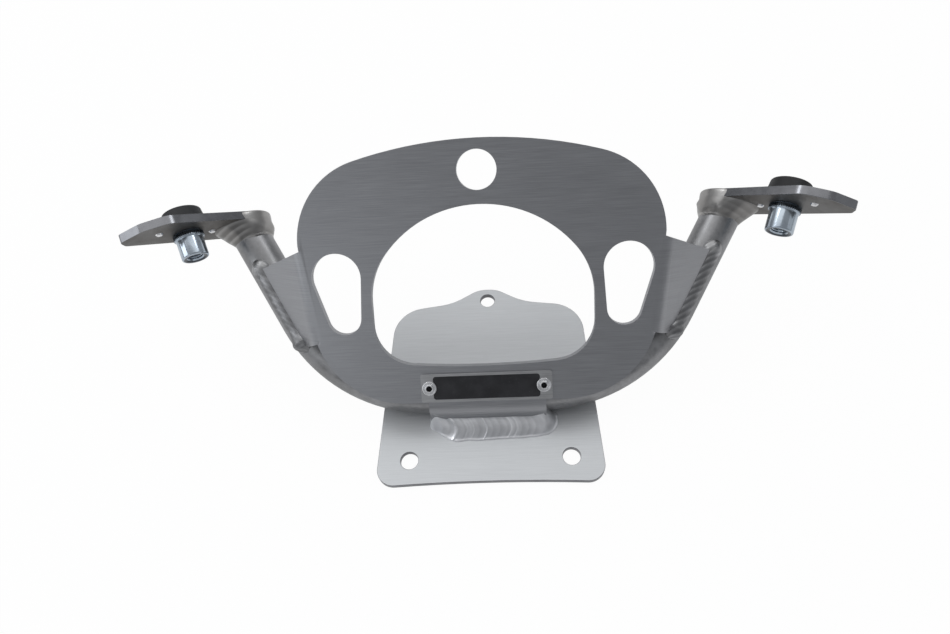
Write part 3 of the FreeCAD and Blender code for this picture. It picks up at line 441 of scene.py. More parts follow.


# crest tones are painted highlight, reached where the ripple attribute is high
weldLooks = {
    "bead": {
        "clouds": 130.0, "cloudDepth": 0.22, "smut": (0.36, 0.36, 0.37, 1),
        "valley": (0.36, 0.365, 0.38, 1), "crest": (0.84, 0.84, 0.86, 1),
        "heatTone": (0.42, 0.42, 0.435, 1), "heatDepth": 0.8, "rough": 0.36, "cloudRough": 0.25,
        "bump": 0.3, "bumpDepth": 0.0002,
    },
    "wing": {
        "clouds": 130.0, "cloudDepth": 0.4, "smut": (0.13, 0.127, 0.125, 1),
        "valley": (0.19, 0.19, 0.196, 1), "crest": (0.48, 0.48, 0.486, 1),
        "heatTone": (0.13, 0.115, 0.10, 1), "heatDepth": 0.6, "rough": 0.36, "cloudRough": 0.25,
        "bump": 0.35, "bumpDepth": 0.0002,
    },
    "flare": {
        "clouds": 90.0, "cloudDepth": 0.35, "smut": (0.22, 0.21, 0.20, 1),
        "valley": (0.17, 0.165, 0.16, 1), "crest": (0.46, 0.45, 0.44, 1),
        "heatTone": (0.15, 0.115, 0.085, 1), "heatDepth": 0.85, "rough": 0.30, "cloudRough": 0.25,
        "bump": 0.3, "bumpDepth": 0.0002,
    },
}
beadMetal = weldMaterial("smooth weld bead", weldLooks["bead"])
wingBeadMetal = weldMaterial("rippled weld bead", weldLooks["wing"])
flareMetal = weldMaterial("smooth weld flare", weldLooks["flare"])


def cloudedMaterial(name, s):
    # two tones mixed by soft clouds, a few specks over them; roughness follows the clouds
    material, tree, shader = newMaterial(name, Metallic=s["metallic"], Specular_IOR_Level=s["gloss"])
    marks = placeGroup(tree, stainGroup, objectCoords(tree), Scale=s["clouds"])
    cloud = marks.outputs["Cloud"]
    if "span" in s:
        cloud = rampNode(tree, cloud, s["span"])
    colour = mixColour(tree, cloud, s["clean"], s["dull"])
    if "speckDepth" in s:
        speck = mathNode(tree, "MULTIPLY", marks.outputs["Speck"], s["speckDepth"])
        colour = mixColour(tree, speck, colour, s["speckTone"])
    tree.links.new(colour, shader.inputs["Base Color"])
    rough = mathNode(tree, "MULTIPLY_ADD", cloud, s["roughSpan"], s["rough"])
    tree.links.new(rough, shader.inputs["Roughness"])
    height = marks.outputs["Cloud"]
    if "grain" in s:
        grain = addNode(tree, "ShaderNodeTexNoise", {"Scale": s["grain"], "Detail": 3.0})
        tree.links.new(objectCoords(tree), grain.inputs["Vector"])
        height = grain.outputs["Fac"]
    if "bump" in s:
        bumpNode(tree, shader, height, s["bump"], s["bumpDepth"])
    return material


finishes = {
    "zinc": {  # nearly even blue-white with faint clouds
        "metallic": 1.0, "gloss": 0.5, "clouds": 90.0, "span": spans["cloud"],
        "clean": (0.50, 0.56, 0.62, 1), "dull": (0.36, 0.41, 0.47, 1),
        "speckDepth": 0.4, "speckTone": (0.15, 0.16, 0.18, 1), "rough": 0.14, "roughSpan": 0.1,
        "bump": 0.08, "bumpDepth": 0.0001,
    },
    "mandrel": {  # mandrel steel in a rivet's hollow, darkened to near black as painted shade of the hollow
        "metallic": 1.0, "gloss": 0.5, "clouds": 300.0, "clean": (0.006, 0.006, 0.007, 1),
        "dull": (0.03, 0.03, 0.032, 1), "rough": 0.35, "roughSpan": 0.2,
    },
    "rubber": {  # black and moulded: fine grain, dusty clouds
        "metallic": 0.0, "gloss": 0.35, "clouds": 70.0, "span": spans["dust"],
        "clean": (0.012, 0.012, 0.013, 1), "dull": (0.03, 0.031, 0.033, 1), "rough": 0.5, "roughSpan": 0.15,
        "grain": 2600.0, "bump": 0.25, "bumpDepth": 0.0002,
    },
    "field": {  # satin dark enamel of the nameplate's bare field
        "metallic": 0.0, "gloss": 0.4, "clouds": 120.0, "span": spans["cloud"],
        "clean": (0.009, 0.009, 0.011, 1), "dull": (0.02, 0.02, 0.023, 1),
        "speckDepth": 0.3, "speckTone": (0.1, 0.1, 0.1, 1), "rough": 0.42, "roughSpan": 0.12,
    },
    "rivet": {
        "metallic": 1.0, "gloss": 0.5, "clouds": 200.0, "span": spans["cloud"],
        "clean": (0.82, 0.82, 0.83, 1), "dull": (0.66, 0.66, 0.67, 1), "rough": 0.2, "roughSpan": 0.14,
        "bump": 0.15, "bumpDepth": 0.0001,
    },
}
# the nut's rounded end: zinc tones darkened as a painted dark reflection
darkReflectionEnd = {"clean": (0.09, 0.10, 0.115, 1), "dull": (0.05, 0.056, 0.065, 1)}
zincPlate = cloudedMaterial("bright zinc plate", finishes["zinc"])
nutEndDarkReflection = cloudedMaterial("zinc plate with painted dark reflection", {**finishes["zinc"], **darkReflectionEnd})
hollowShadeSteel = cloudedMaterial("mandrel steel with painted hollow shade", finishes["mandrel"])
padRubber = cloudedMaterial("black pad rubber", finishes["rubber"])
darkField = cloudedMaterial("dark nameplate field", finishes["field"])
rivetMetal = cloudedMaterial("bright rivet metal", finishes["rivet"])
print("materials made:", len(bpy.data.materials))


def dress(piece, slot, *materials):
    for material in materials:
        piece.data.materials.append(material)


# plates and tube

plates = {
    "base_plate": {"name": "basePlate", "slot": "base_aluminium", "edgeWidth": 0.35 * mm,
                   "metals": (baseMetal, shadedCutEdgeMetal)},
    "front_plate": {"name": "frontPlate", "slot": "brushed_aluminium", "edgeWidth": 0.4 * mm,
                    "metals": (sheetMetal, edgeMetal)},
    "left_tab": {"name": "leftTab", "slot": "tab_aluminium", "edgeWidth": 0.4 * mm,
                 "metals": (tabMetal, shadedCutEdgeMetal, tabUndersideShade)},
    "right_tab": {"name": "rightTab", "slot": "tab_aluminium", "edgeWidth": 0.4 * mm,
                  "metals": (tabMetal, shadedCutEdgeMetal, tabUndersideShade)},
    "nameplate": {"name": "nameplateSheet", "slot": "nameplate_metal", "edgeWidth": 0.15 * mm,
                  "metals": (nameplateMetal, edgeMetal)},
}
for nodeName, settings in plates.items():
    plate = roundedCopy(nodeName, settings["name"], settings["edgeWidth"], edgeBreak)
    dress(plate, settings["slot"], *settings["metals"])


def markFaces(name, up, under, flat=0.9):
    # cut edges take the second material, darkened as painted shade, and the underside the one numbered under,
    # which on the tabs is painted shade too
    mesh = bpy.data.objects[name].data
    normals = np.empty(len(mesh.polygons) * 3)
    mesh.polygons.foreach_get("normal", normals)
    facing = normals.reshape(-1, 3) @ up
    numbers = np.select([facing < -flat, facing < flat], [under, 1], 0)
    mesh.polygons.foreach_set("material_index", numbers.astype(np.int32))


markFaces(plates["base_plate"]["name"], np.array([0.0, 0.0, 1.0]), 0)
for label, side in sides.items():
    markFaces(plates[f"{label}_tab"]["name"], tabUp * (side, 1, 1), 2)
nodes["tube"].data.materials.clear()
nodes["tube"].data.materials.append(tubeMetal)
print("plates rounded:", len(plates))


# weld beads


def noiseWave(x, seed, terms=5):
    # smooth made-up wander: a sum of sines with seeded phases, about -1 to 1
    rng = np.random.default_rng(seed)
    freq = rng.uniform(0.5, 2.2, terms)
    phase = rng.uniform(0, 2 * np.pi, terms)
    x = np.asarray(x, float)
    return np.sin(x[..., None] * freq + phase).sum(-1) / terms


def wander(x, amount, rate, seed):
    # the same, with its own amount and rate
    return amount * noiseWave(x * rate, seed)


def rippleWave(phase, crest=0.75):
    # stacked scales: slow rise and quicker fall in each pitch, eased at both, 0 to 1
    part = phase - np.floor(phase)
    ramp = np.where(part < crest, part / crest, (1 - part) / (1 - crest))
    return ramp * ramp * (3 - 2 * ramp)


def easeStep(x, low, high):
    t = np.clip((x - low) / (high - low), 0, 1)
    return t * t * (3 - 2 * t)


def hump(x, centre, width):
    return np.exp(-((x - centre) / width) ** 2)


joinDistance = 1e-7
leastTip = 0.0004  # keeps the end ring of a bead from closing to a point


def tidyShell(piece, sharp=None):
    # joins the rows that coincide and turns every face outward
    work = bmesh.new()
    work.from_mesh(piece.data)
    bmesh.ops.remove_doubles(work, verts=work.verts, dist=joinDistance)
    bmesh.ops.dissolve_degenerate(work, edges=work.edges, dist=joinDistance)
    bmesh.ops.recalc_face_normals(work, faces=work.faces)
    work.to_mesh(piece.data)
    work.free()
    if sharp:
        piece.data.set_sharp_from_angle(angle=math.radians(sharp))


baseBead = {
    "half": 27.0, "corner": 1.5, "sideRun": 3.2, "front": 16.5, "wrapRadius": 13.0, "wrapLevel": 12.0,
    "toe": 7.4, "toeTilt": 0.032, "leftToe": 1.0, "rightToe": 5.4, "toeWander": (0.05, 0.45, 3),
    "rise": 9.6, "leftRise": 5.0, "rightRise": 3.2, "riseWander": (0.03, 0.4, 7),
    "leftRun": (15.0, 1.5), "rightRun": (19.0, 1.0), "fade": 1.2, "lip": 0.35, "lipPlace": (0.06, 0.05),
    "bulge": 0.25, "hollow": 1.3, "pitch": 3.4, "ripple": 0.05, "sweep": 2.4,
    "phaseWander": (0.6, 0.22, 11), "rows": 640, "outer": 48, "sink": 0.4,
    "ridges": ((-16.5, 0.55, 0.6), (-2.2, 0.4, 0.34), (-11.5, 0.5, 0.1), (-8.6, 0.5, 0.1),
               (9.6, 0.45, 0.16), (12.4, 0.5, 0.14), (25.0, 0.6, 0.14)),
    "dimples": ((-20.5, 2.6, 0.8), (-6.5, 2.6, 0.12), (5.0, 2.8, 0.1), (19.0, 3.0, 0.15)),
    "shine": {"face": 0.52, "ripple": 0.08, "ridge": 0.9, "lip": 0.5, "left": 0.3}, "heatRun": (0.55, 0.95),
    "powers": {"sweep": 1.1, "relief": 0.6, "recede": 3}, "inside": {"out": 0.5, "lift": 0.4},
}


def makeBaseBead(s):
    # fillet round the foot of the tongue: a U in plan, followed in millimetres from its middle; at each place
    # a hollow face from the toe on the base (a = 0) up to the tongue (a = 1): out = toe (1 - a)^h and
    # lift = rise a^h, with a few crescent ridges
    straight = s["half"] - s["corner"]
    quarter = s["corner"] * np.pi / 2
    reach = straight + quarter + s["sideRun"]
    along = np.linspace(-reach, reach, s["rows"])
    away = np.abs(along)
    turn = np.clip((away - straight) / s["corner"], 0, np.pi / 2)
    back = np.clip(away - straight - quarter, 0, None)
    pathX = np.sign(along) * (np.minimum(away, straight) + s["corner"] * np.sin(turn))
    pathY = s["front"] + s["corner"] * (1 - np.cos(turn)) + back
    outX = np.sign(along) * np.sin(turn)
    outY = -np.cos(turn)
    rightEnd = easeStep(along, s["rightRun"][0], reach - s["rightRun"][1])
    leftEnd = easeStep(-along, s["leftRun"][0], reach - s["leftRun"][1])
    toe = (s["toe"] - s["toeTilt"] * along) * (1 + wander(along, *s["toeWander"]))
    toe = toe + (s["leftToe"] - toe) * leftEnd + (s["rightToe"] - toe) * rightEnd
    rise = s["rise"] * (1 + wander(along, *s["riseWander"]))
    rise = rise + s["leftRise"] * leftEnd + s["rightRise"] * rightEnd
    fade = 1 - easeStep(away, reach - s["fade"], reach)
    a = np.linspace(0, 1, s["outer"])[None, :]
    topZ = stay["baseTop"] / mm + rise
    overhang = np.clip(topZ - s["wrapLevel"], 0, None)
    recede = s["wrapRadius"] - np.sqrt(s["wrapRadius"] ** 2 - overhang ** 2)
    crescent = s["sweep"] * np.sin(np.pi * a) ** s["powers"]["sweep"]
    shifted = along[:, None] - crescent + wander(along, *s["phaseWander"])[:, None]
    scale = rippleWave(shifted / s["pitch"])
    ridge = np.zeros_like(shifted)
    for place, width, height in s["ridges"]:
        ridge = ridge + height * hump(shifted + s["sweep"] * 0.5, place, width)
    lump = (scale - 0.5) * s["ripple"] + ridge
    for place, width, depth in s["dimples"]:
        lump = lump - depth * hump(shifted, place, width)
    envelope = np.sin(np.pi * a) ** s["powers"]["relief"]
    rim = hump(a, *s["lipPlace"])
    swell = s["bulge"] * np.sin(np.pi * a) * (rise[:, None] / s["rise"]) + lump * envelope + s["lip"] * rim
    swell = swell * fade[:, None]
    slope = np.hypot(toe, rise)
    out = toe[:, None] * (1 - a) ** s["hollow"] + swell * (rise / slope)[:, None]
    out = out - recede[:, None] * a ** s["powers"]["recede"]
    lift = rise[:, None] * a ** s["hollow"] + swell * (toe / slope)[:, None]
    sunk = np.full_like(toe, -s["sink"])
    innerOut = np.stack([sunk - recede, sunk, sunk, toe * s["inside"]["out"], toe], axis=1)
    innerLift = np.stack([rise, rise * s["inside"]["lift"], sunk, sunk, sunk], axis=1)
    allOut = np.concatenate([out, innerOut], axis=1)
    allLift = np.concatenate([lift, innerLift], axis=1)
    points = np.stack([
        pathX[:, None] + allOut * outX[:, None],
        pathY[:, None] + allOut * outY[:, None],
        stay["baseTop"] / mm + allLift,
    ], axis=-1) * mm
    piece = shellPiece("baseWeldBead", points)
    glow = s["shine"]
    # painted highlight: crests, ridges, the lip and the left end are lightened through the ripple attribute
    shine = glow["face"] + glow["ripple"] * scale + glow["ridge"] * ridge + glow["lip"] * rim
    shine = np.clip(shine + glow["left"] * leftEnd[:, None], 0, 1)
    blank = np.zeros((s["rows"], innerOut.shape[1]))
    paintPoints(piece, "ripple", np.concatenate([shine, blank], axis=1))
    heat = easeStep(a, *s["heatRun"]) * np.ones_like(scale)
    paintPoints(piece, "heat", np.concatenate([heat, blank], axis=1))
    tidyShell(piece)
    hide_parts("base_weld")
    dress(piece, "weld_metal", beadMetal)


makeBaseBead(baseBead)

rearBead = {
    "half": 32.0, "setback": 36.5, "size": 4.0, "sizeWander": (0.05, 0.4, 29), "pitch": 3.4, "ripple": 0.2,
    "curl": 1.4, "phaseWander": (0.5, 0.3, 23), "sink": 0.3, "heat": 0.25, "rows": 260, "turns": 48,
    "taper": 6, "fullness": 0.95,
}


def makeRearBead(s):
    # round bar behind the tube on the base, with scales; ends taper to a blunt tip
    x = np.linspace(-1, 1, s["rows"])[:, None]
    around = np.linspace(0, 2 * np.pi, s["turns"], endpoint=False)[None, :]
    full = np.clip(1 - np.abs(x) ** s["taper"], leastTip, None) ** 0.5
    along = x * s["half"]
    shifted = along - s["curl"] * np.sin(around) + wander(along, *s["phaseWander"])
    scale = rippleWave(shifted / s["pitch"])
    radius = s["size"] * full * (s["fullness"] + wander(along, *s["sizeWander"]))
    radius = radius + (scale - 0.5) * s["ripple"] * full
    y = s["setback"] + radius * np.cos(around)
    z = stay["baseTop"] / mm + np.maximum(radius * np.sin(around), -s["sink"])
    points = np.stack([np.repeat(along, s["turns"], axis=1), y, z], axis=-1) * mm
    piece = shellPiece("rearWeldBead", points, flip=True)
    # painted highlight on the scales' crests
    paintPoints(piece, "ripple", scale)
    paintPoints(piece, "heat", s["heat"] * np.ones_like(scale))
    tidyShell(piece)
    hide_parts("tube_base_weld")
    dress(piece, "weld_metal", beadMetal)


makeRearBead(rearBead)

wingBead = {
    "low": 26.5, "high": 79.0, "bearing": 9.0, "depth": 6.9, "size": 4.6, "pitch": 4.1, "slant": 1.6,
    "bow": 0.06, "ripple": {"left": 0.06, "right": 0.15}, "rows": 420, "turns": 72, "wall": 8.1, "end": 6.5,
    "flat": 0.82, "blobs": ((74.0, 3.0, 0.35), (31.0, 3.6, 1.6)), "crater": (31.0, 1.2, 0.6),
    "craterSide": (0.6, 1.5), "phaseWander": (0.6, 0.2), "sizeWander": (0.05, 0.3),
    "seeds": {"left": (40, 46), "right": (42, 48)}, "crest": 0.68, "level": 0.6, "frontShare": 0.4,
    "shine": {"face": 0.35, "ripple": 1.8, "level": 0.4, "blob": 0.5, "blobWidth": 2.4, "rim": 0.3,
              "rimPlace": (-0.95, 0.12)},
    "heat": {"face": 0.1, "foot": 0.5, "footWidth": 5},
}


def makeWingBead(label, side, s):
    # scales along the arm: the section is a flattened circle about a line beside the arm, kept out of the
    # tube's bore; round ends, and lines of equal phase that climb from the wing's edge to the tube
    t = np.linspace(0, 1, s["rows"])[:, None]
    around = np.linspace(-np.pi, np.pi, s["turns"], endpoint=False)[None, :]
    along = s["low"] + (s["high"] - s["low"]) * (0.5 - 0.5 * np.cos(np.pi * t))
    inset = np.minimum(along - s["low"], s["high"] - along)
    full = np.sqrt(np.clip(1 - np.clip(1 - inset / s["end"], 0, 1) ** 2, leastTip, None))
    over = s["size"] * np.sin(around)
    phaseSeed, sizeSeed = s["seeds"][label]
    shifted = along - s["slant"] * over + s["bow"] * over ** 2 + wander(along, *s["phaseWander"], phaseSeed)
    scale = rippleWave(shifted / s["pitch"], s["crest"])
    lump = (scale - s["level"]) * s["ripple"][label]
    for place, width, height in s["blobs"]:
        lump = lump + height * hump(along, place, width)
    place, width, depth = s["crater"]
    lump = lump - depth * hump(along, place, width) * hump(over, *s["craterSide"])
    thick = s["size"] * (1 + wander(along, *s["sizeWander"], sizeSeed))
    radius = (thick + lump * np.clip(np.cos(around) + s["frontShare"], 0, 1)) * full
    bearCos, bearSin = turned(s["bearing"])
    front = s["depth"] * bearCos + radius * np.cos(around) * s["flat"]
    aside = s["depth"] * bearSin + radius * np.sin(around)
    reach = np.hypot(front, aside)
    keep = np.maximum(reach, s["wall"]) / reach
    points = (armCorner + along[..., None] * mm * arm
              + (front * keep)[..., None] * mm * armFront + (aside * keep)[..., None] * mm * armSide)
    points[..., 0] *= side
    piece = shellPiece(f"{label}WingBead", points, flip=side < 0)
    glow, tinting = s["shine"], s["heat"]
    # painted highlight on the crests, the top blob and a rim along one side
    crest = glow["face"] + s["ripple"][label] * glow["ripple"] * (scale - glow["level"])
    crest = crest + glow["blob"] * hump(along, s["blobs"][0][0], glow["blobWidth"])
    rim = hump(np.sin(around), *glow["rimPlace"]) * np.ones_like(scale)
    paintPoints(piece, "ripple", np.clip(crest + glow["rim"] * rim, 0, 1))
    foot = hump(along, s["low"], tinting["footWidth"]) * np.ones_like(scale)
    paintPoints(piece, "heat", tinting["face"] + tinting["foot"] * foot)
    tidyShell(piece)
    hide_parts(f"{label}_wing_weld")
    dress(piece, "weld_metal", wingBeadMetal)


tabFlare = {
    "height": 8.4, "reach": 16.4, "heel": 10.8, "width": 10.5, "waist": 1.5, "rows": 56, "turns": 160,
    "wall": 8.2, "near": 11.8, "far": 10.2, "round": 11.0, "nearReach": 16.0, "cover": 1.05, "wrapRows": 14,
    "lumps": {"left": ((200.0, 0.62, 26.0, 0.20, 0.35), (238.0, 0.16, 24.0, 0.09, -0.5),
                       (60.0, 0.5, 30.0, 0.2, 0.3)),
              "right": ((214.0, 0.8, 14.0, 0.16, 0.7), (190.0, 0.35, 12.0, 0.2, 0.45),
                        (246.0, 0.3, 16.0, 0.2, 0.5), (268.0, 0.25, 9.0, 0.14, -0.5),
                        (300.0, 0.4, 20.0, 0.2, 0.3))},
    "lip": 0.3, "lipPlace": (0.09, 0.05), "lipWander": (0.8, 3, 67), "faceWander": (0.12, 5, 61),
    "bury": 0.35, "arcs": {"left": 0.4, "right": 0.1}, "wrapFrom": (118.0, 158.0), "wrapTo": (292.0, 322.0),
    "easePower": 1.5, "buryPower": 12, "ringWander": (0.6, 3, 71), "proud": 0.12, "climbPower": 0.9,
    "tuck": {"bulge": 0.35, "pull": 5.7, "start": 0.55, "power": 1.5}, "underRise": 0.25, "backTop": 0.6,
    "backLow": 0.4, "outerFace": (0.25, 0.8), "arcRun": (3.6, 0.5), "arcWander": (0.3, 2, 79),
    # shine and heat on the outer side, under the tab, are painted shade
    "arcCrest": 0.7, "shine": {"face": 0.55, "rim": 0.4, "level": 0.6, "outer": 0.15, "wrap": 0.6},
    "heat": {"face": 0.1, "outer": 0.75, "wrap": 0.6},
}


def makeTabFlare(label, side, s):
    # puddle from a ring on the tube (t = 0) to the tab: on the outer side an oval on its underside, on the
    # root and near sides it climbs over the tab's edge (wrap = 1) and closes on its top; lumps are humps
    around = np.linspace(0, 2 * np.pi, s["turns"], endpoint=False)
    degrees = np.degrees(around)
    wrap = easeStep(degrees, *s["wrapFrom"]) * (1 - easeStep(degrees, *s["wrapTo"]))
    cos, sin = np.cos(around), np.sin(around)
    t = np.linspace(0, 1, s["rows"])[:, None]
    ring = stay["tubeRadius"] / mm
    half, shift = (s["reach"] + s["heel"]) / 2, (s["reach"] - s["heel"]) / 2
    middle = (s["far"] - s["near"]) / 2
    ovalX, ovalY = shift + half * cos, s["width"] * sin
    roundX = (s["round"] + s["cover"]) * cos
    roundY = middle + (s["round"] + s["cover"]) * sin
    nearX = np.where(cos > 0, s["nearReach"] * cos, roundX)
    edgeX = ovalX + (nearX - ovalX) * wrap
    edgeY = ovalY + (roundY - ovalY) * wrap
    ease = t ** s["easePower"]
    waist = s["waist"] * np.sin(np.pi * t)
    rim = hump(t, *s["lipPlace"]) * wrap
    lip = s["lip"] * rim * (1 + wander(around, *s["lipWander"])) - s["bury"] * (1 - t) ** s["buryPower"]
    swell = waist * wrap + lip + wander(around, *s["faceWander"]) * np.sin(np.pi * t)
    for place, level, width, depth, height in s["lumps"][label]:
        swell = swell + height * hump(degrees, place, width) * hump(t, level, depth)
    out = ring * cos * (1 - ease) + edgeX * ease + swell * cos
    far = ring * sin * (1 - ease) + edgeY * ease + swell * sin
    amount, rate, seed = s["ringWander"]
    lift = (t - 1) * (s["height"] + amount * noiseWave(around * rate + side, seed) * (1 - t))
    drift = lift / (arm @ tabUp) * (1 - ease)
    out = out + drift * (arm @ tabOut)
    far = far + drift * (arm @ tabFar)
    k = np.linspace(0, 1, s["wrapRows"] + 1)[1:, None]
    thick = stay["tabThickness"] / mm
    climb = wrap * k
    fold = s["tuck"]
    pull = fold["pull"] * np.clip(k - fold["start"], 0, None) ** fold["power"]
    tuck = s["cover"] * (fold["bulge"] * np.sin(np.pi * k) - pull) * wrap
    wrapOut = edgeX + tuck * cos
    wrapFar = edgeY + tuck * sin
    wrapLift = (thick + s["proud"]) * np.sin(climb * np.pi / 2) ** s["climbPower"]
    wrapLift = wrapLift + s["underRise"] * (1 - wrap) * k
    inner = s["wall"]
    backTop = np.stack([inner * cos, inner * sin, np.full(s["turns"], s["backTop"])], axis=-1)[None]
    backFoot = s["backLow"] - s["height"]
    footDrift = backFoot / (arm @ tabUp)
    backLow = np.stack([
        inner * cos + footDrift * (arm @ tabOut), inner * sin + footDrift * (arm @ tabFar),
        np.full(s["turns"], backFoot),
    ], axis=-1)[None]
    face = np.stack(np.broadcast_arrays(out, far, lift), axis=-1)
    over = np.stack(np.broadcast_arrays(wrapOut, wrapFar, wrapLift), axis=-1)
    grid = np.concatenate([face, over, backTop, backLow])
    grid = np.concatenate([grid, grid[:1]])
    points = tabRoot + (grid[..., :1] * tabOut + grid[..., 1:2] * tabFar + grid[..., 2:] * tabUp) * mm
    points[..., 0] *= side
    piece = shellPiece(f"{label}TabFlare", points, capEnds=False, flip=side < 0)
    glow, tinting = s["shine"], s["heat"]
    # the outer side lies under the tab: its tone is lowered and its heat raised as painted shade; the lip rim
    # and arcs are painted highlight
    outer = easeStep(cos, *s["outerFace"]) * np.ones_like(t)
    arcPhase = t * s["arcRun"][0] + s["arcRun"][1] * cos + wander(around, *s["arcWander"])
    arcs = rippleWave(arcPhase, s["arcCrest"])
    outerTone = s["arcs"][label] * (arcs - glow["level"]) - glow["outer"]
    tone = glow["face"] + glow["rim"] * rim + outer * outerTone
    extra = len(grid) - s["rows"]
    wrapTone = np.full((extra, s["turns"]), glow["wrap"])
    paintPoints(piece, "ripple", np.concatenate([np.clip(tone, 0, 1), wrapTone]))
    heat = tinting["face"] + tinting["outer"] * outer
    paintPoints(piece, "heat", np.concatenate([heat, np.repeat(heat[-1:], extra, axis=0) * tinting["wrap"]]))
    tidyShell(piece)
    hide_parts(f"{label}_tab_weld")
    dress(piece, "weld_metal", flareMetal)


for label, side in sides.items():
    makeWingBead(label, side, wingBead)
    makeTabFlare(label, side, tabFlare)
print("weld beads laid")


# rivet nuts, pads and rivets

nut = {
    "body": 6.2, "length": 12.2, "collar": 6.7, "collarLength": 2.4, "collarRows": 6, "flange": 7.5,
    "flangeTop": 5.0, "bore": 3.4, "teeth": 44, "toothDepth": 0.3, "round": 0.9, "mouth": 1.0,
    "thread": 1.25, "threadDepth": 0.35, "threadSteps": 8, "threadEnds": (0.6, 0.1), "chamfer": 0.5,
    "toothEnds": (0.15, 0.2), "toothRows": (0.3, 0.35), "toothSharp": 2.2, "sharp": 50,
}


def makeNut(label, side, s):
    # revolution: rounded end, plain barrel, toothed collar, shank in the tab, flange, bore with its thread
    low = -s["length"]
    barrel = roundedProfile([
        (s["bore"], low + s["mouth"]), (s["bore"] + s["mouth"], low), (s["body"], low),
        (s["body"], -s["collarLength"] - s["chamfer"]), (s["collar"], -s["collarLength"]), (s["collar"], 0.0),
        (s["body"], 0.0), (s["body"], stay["tabThickness"] / mm), (s["flange"], stay["tabThickness"] / mm),
        (s["flange"], s["flangeTop"]), (s["bore"] + s["chamfer"], s["flangeTop"]),
        (s["bore"], s["flangeTop"] - s["chamfer"]),
    ], s["round"])
    topEnd, lowEnd = s["threadEnds"]
    levels = np.arange(s["flangeTop"] - topEnd, low + s["mouth"] + lowEnd, -s["thread"] / s["threadSteps"])
    screw = s["bore"] + s["threadDepth"] * (0.5 - 0.5 * np.cos(2 * np.pi * levels / s["thread"]))
    profile = np.concatenate([barrel, np.stack([screw, levels], axis=1), barrel[:1]])
    toothLow, toothHigh = s["toothEnds"]

    def teeth(height, around):
        onCollar = (height > -s["collarLength"] + toothLow) & (height < -toothHigh)
        return onCollar * s["toothDepth"] * np.clip(np.cos(around * s["teeth"]) * s["toothSharp"], -1, 1)

    rowLow, rowHigh = s["toothRows"]
    collarLevels = np.linspace(-s["collarLength"] + rowLow, -rowHigh, s["collarRows"])
    collarRows = np.stack([np.full(s["collarRows"], s["collar"]), collarLevels], axis=1)
    firstCollar = np.argmax((profile[:, 0] > s["collar"] - 1e-6) & (profile[:, 1] > -s["collarLength"]))
    profile = np.concatenate([profile[:firstCollar], collarRows, profile[firstCollar:]])
    points = spunPoints(profile, nutFoot, tabUp, side, turns=s["teeth"] * 6, swell=teeth)
    piece = shellPiece(f"{label}RivetNut", points, capEnds=False, flip=side < 0)
    rowOf = np.arange(len(piece.data.polygons)) // points.shape[1]
    # faces of the rounded end take the second material, a painted dark reflection
    onEnd = (profile[rowOf, 1] < low + s["mouth"]) & (profile[rowOf, 0] < s["body"] - s["round"])
    piece.data.polygons.foreach_set("material_index", onEnd.astype(np.int32))
    tidyShell(piece, s["sharp"])
    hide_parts(f"{label}_rivet_nut")
    dress(piece, "zinc_plate", zincPlate, nutEndDarkReflection)


pad = {
    "base": 10.0, "top": 9.0, "height": 7.0, "bore": 4.5, "recess": 7.5, "recessDepth": 1.0, "round": 0.6,
    "turns": 128, "foot": (0.15, 1.2), "mouth": (0.4, 0.5), "sharp": 45,
}


def makePad(label, side, s):
    # revolution: tapered ring with rounded rims, a recess over the nut's flange and a bore for the screw
    floor = stay["tabThickness"] / mm
    footTaper, footRise = s["foot"]
    mouthWidth, mouthDepth = s["mouth"]
    profile = roundedProfile([
        (s["recess"], floor), (s["base"], floor), (s["base"] - footTaper, floor + footRise),
        (s["top"], floor + s["height"]), (s["bore"] + mouthWidth, floor + s["height"]),
        (s["bore"], floor + s["height"] - mouthDepth), (s["bore"], floor + s["recessDepth"]),
        (s["recess"], floor + s["recessDepth"]), (s["recess"], floor),
    ], s["round"])
    points = spunPoints(profile, nutFoot, tabUp, side, turns=s["turns"])
    piece = shellPiece(f"{label}Pad", points, capEnds=False, flip=side < 0)
    tidyShell(piece, s["sharp"])
    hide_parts(f"{label}_pad")
    dress(piece, "pad_rubber", padRubber)


for label, side in sides.items():
    makeNut(label, side, nut)
    makePad(label, side, pad)
    pins = nodes[f"{label}_tab_rivets"]
    pins.data.materials.clear()
    pins.data.materials.append(rivetMetal)

blindRivet = {
    "offset": 26.2, "level": 7.2, "plate": 1.0, "turns": 72, "flange": 3.3, "rim": 0.4, "grooveOut": 2.8,
    "grooveIn": 2.3, "groove": 0.2, "crown": 1.85, "dome": 1.1, "cup": 1.35, "cupDepth": 0.95,
    "stub": 0.6, "stubRise": 0.3, "shank": 1.6, "tail": 2.1, "tailLength": 1.2, "grip": 4.0, "round": 0.18,
    "rimRise": 0.1, "grooveWall": 0.2, "cupTaper": 0.1, "stubTaper": 0.05, "stubEdge": (0.3, 0.1),
    "stubMiddle": 0.05, "hollowRows": 3, "sharp": 40,
}


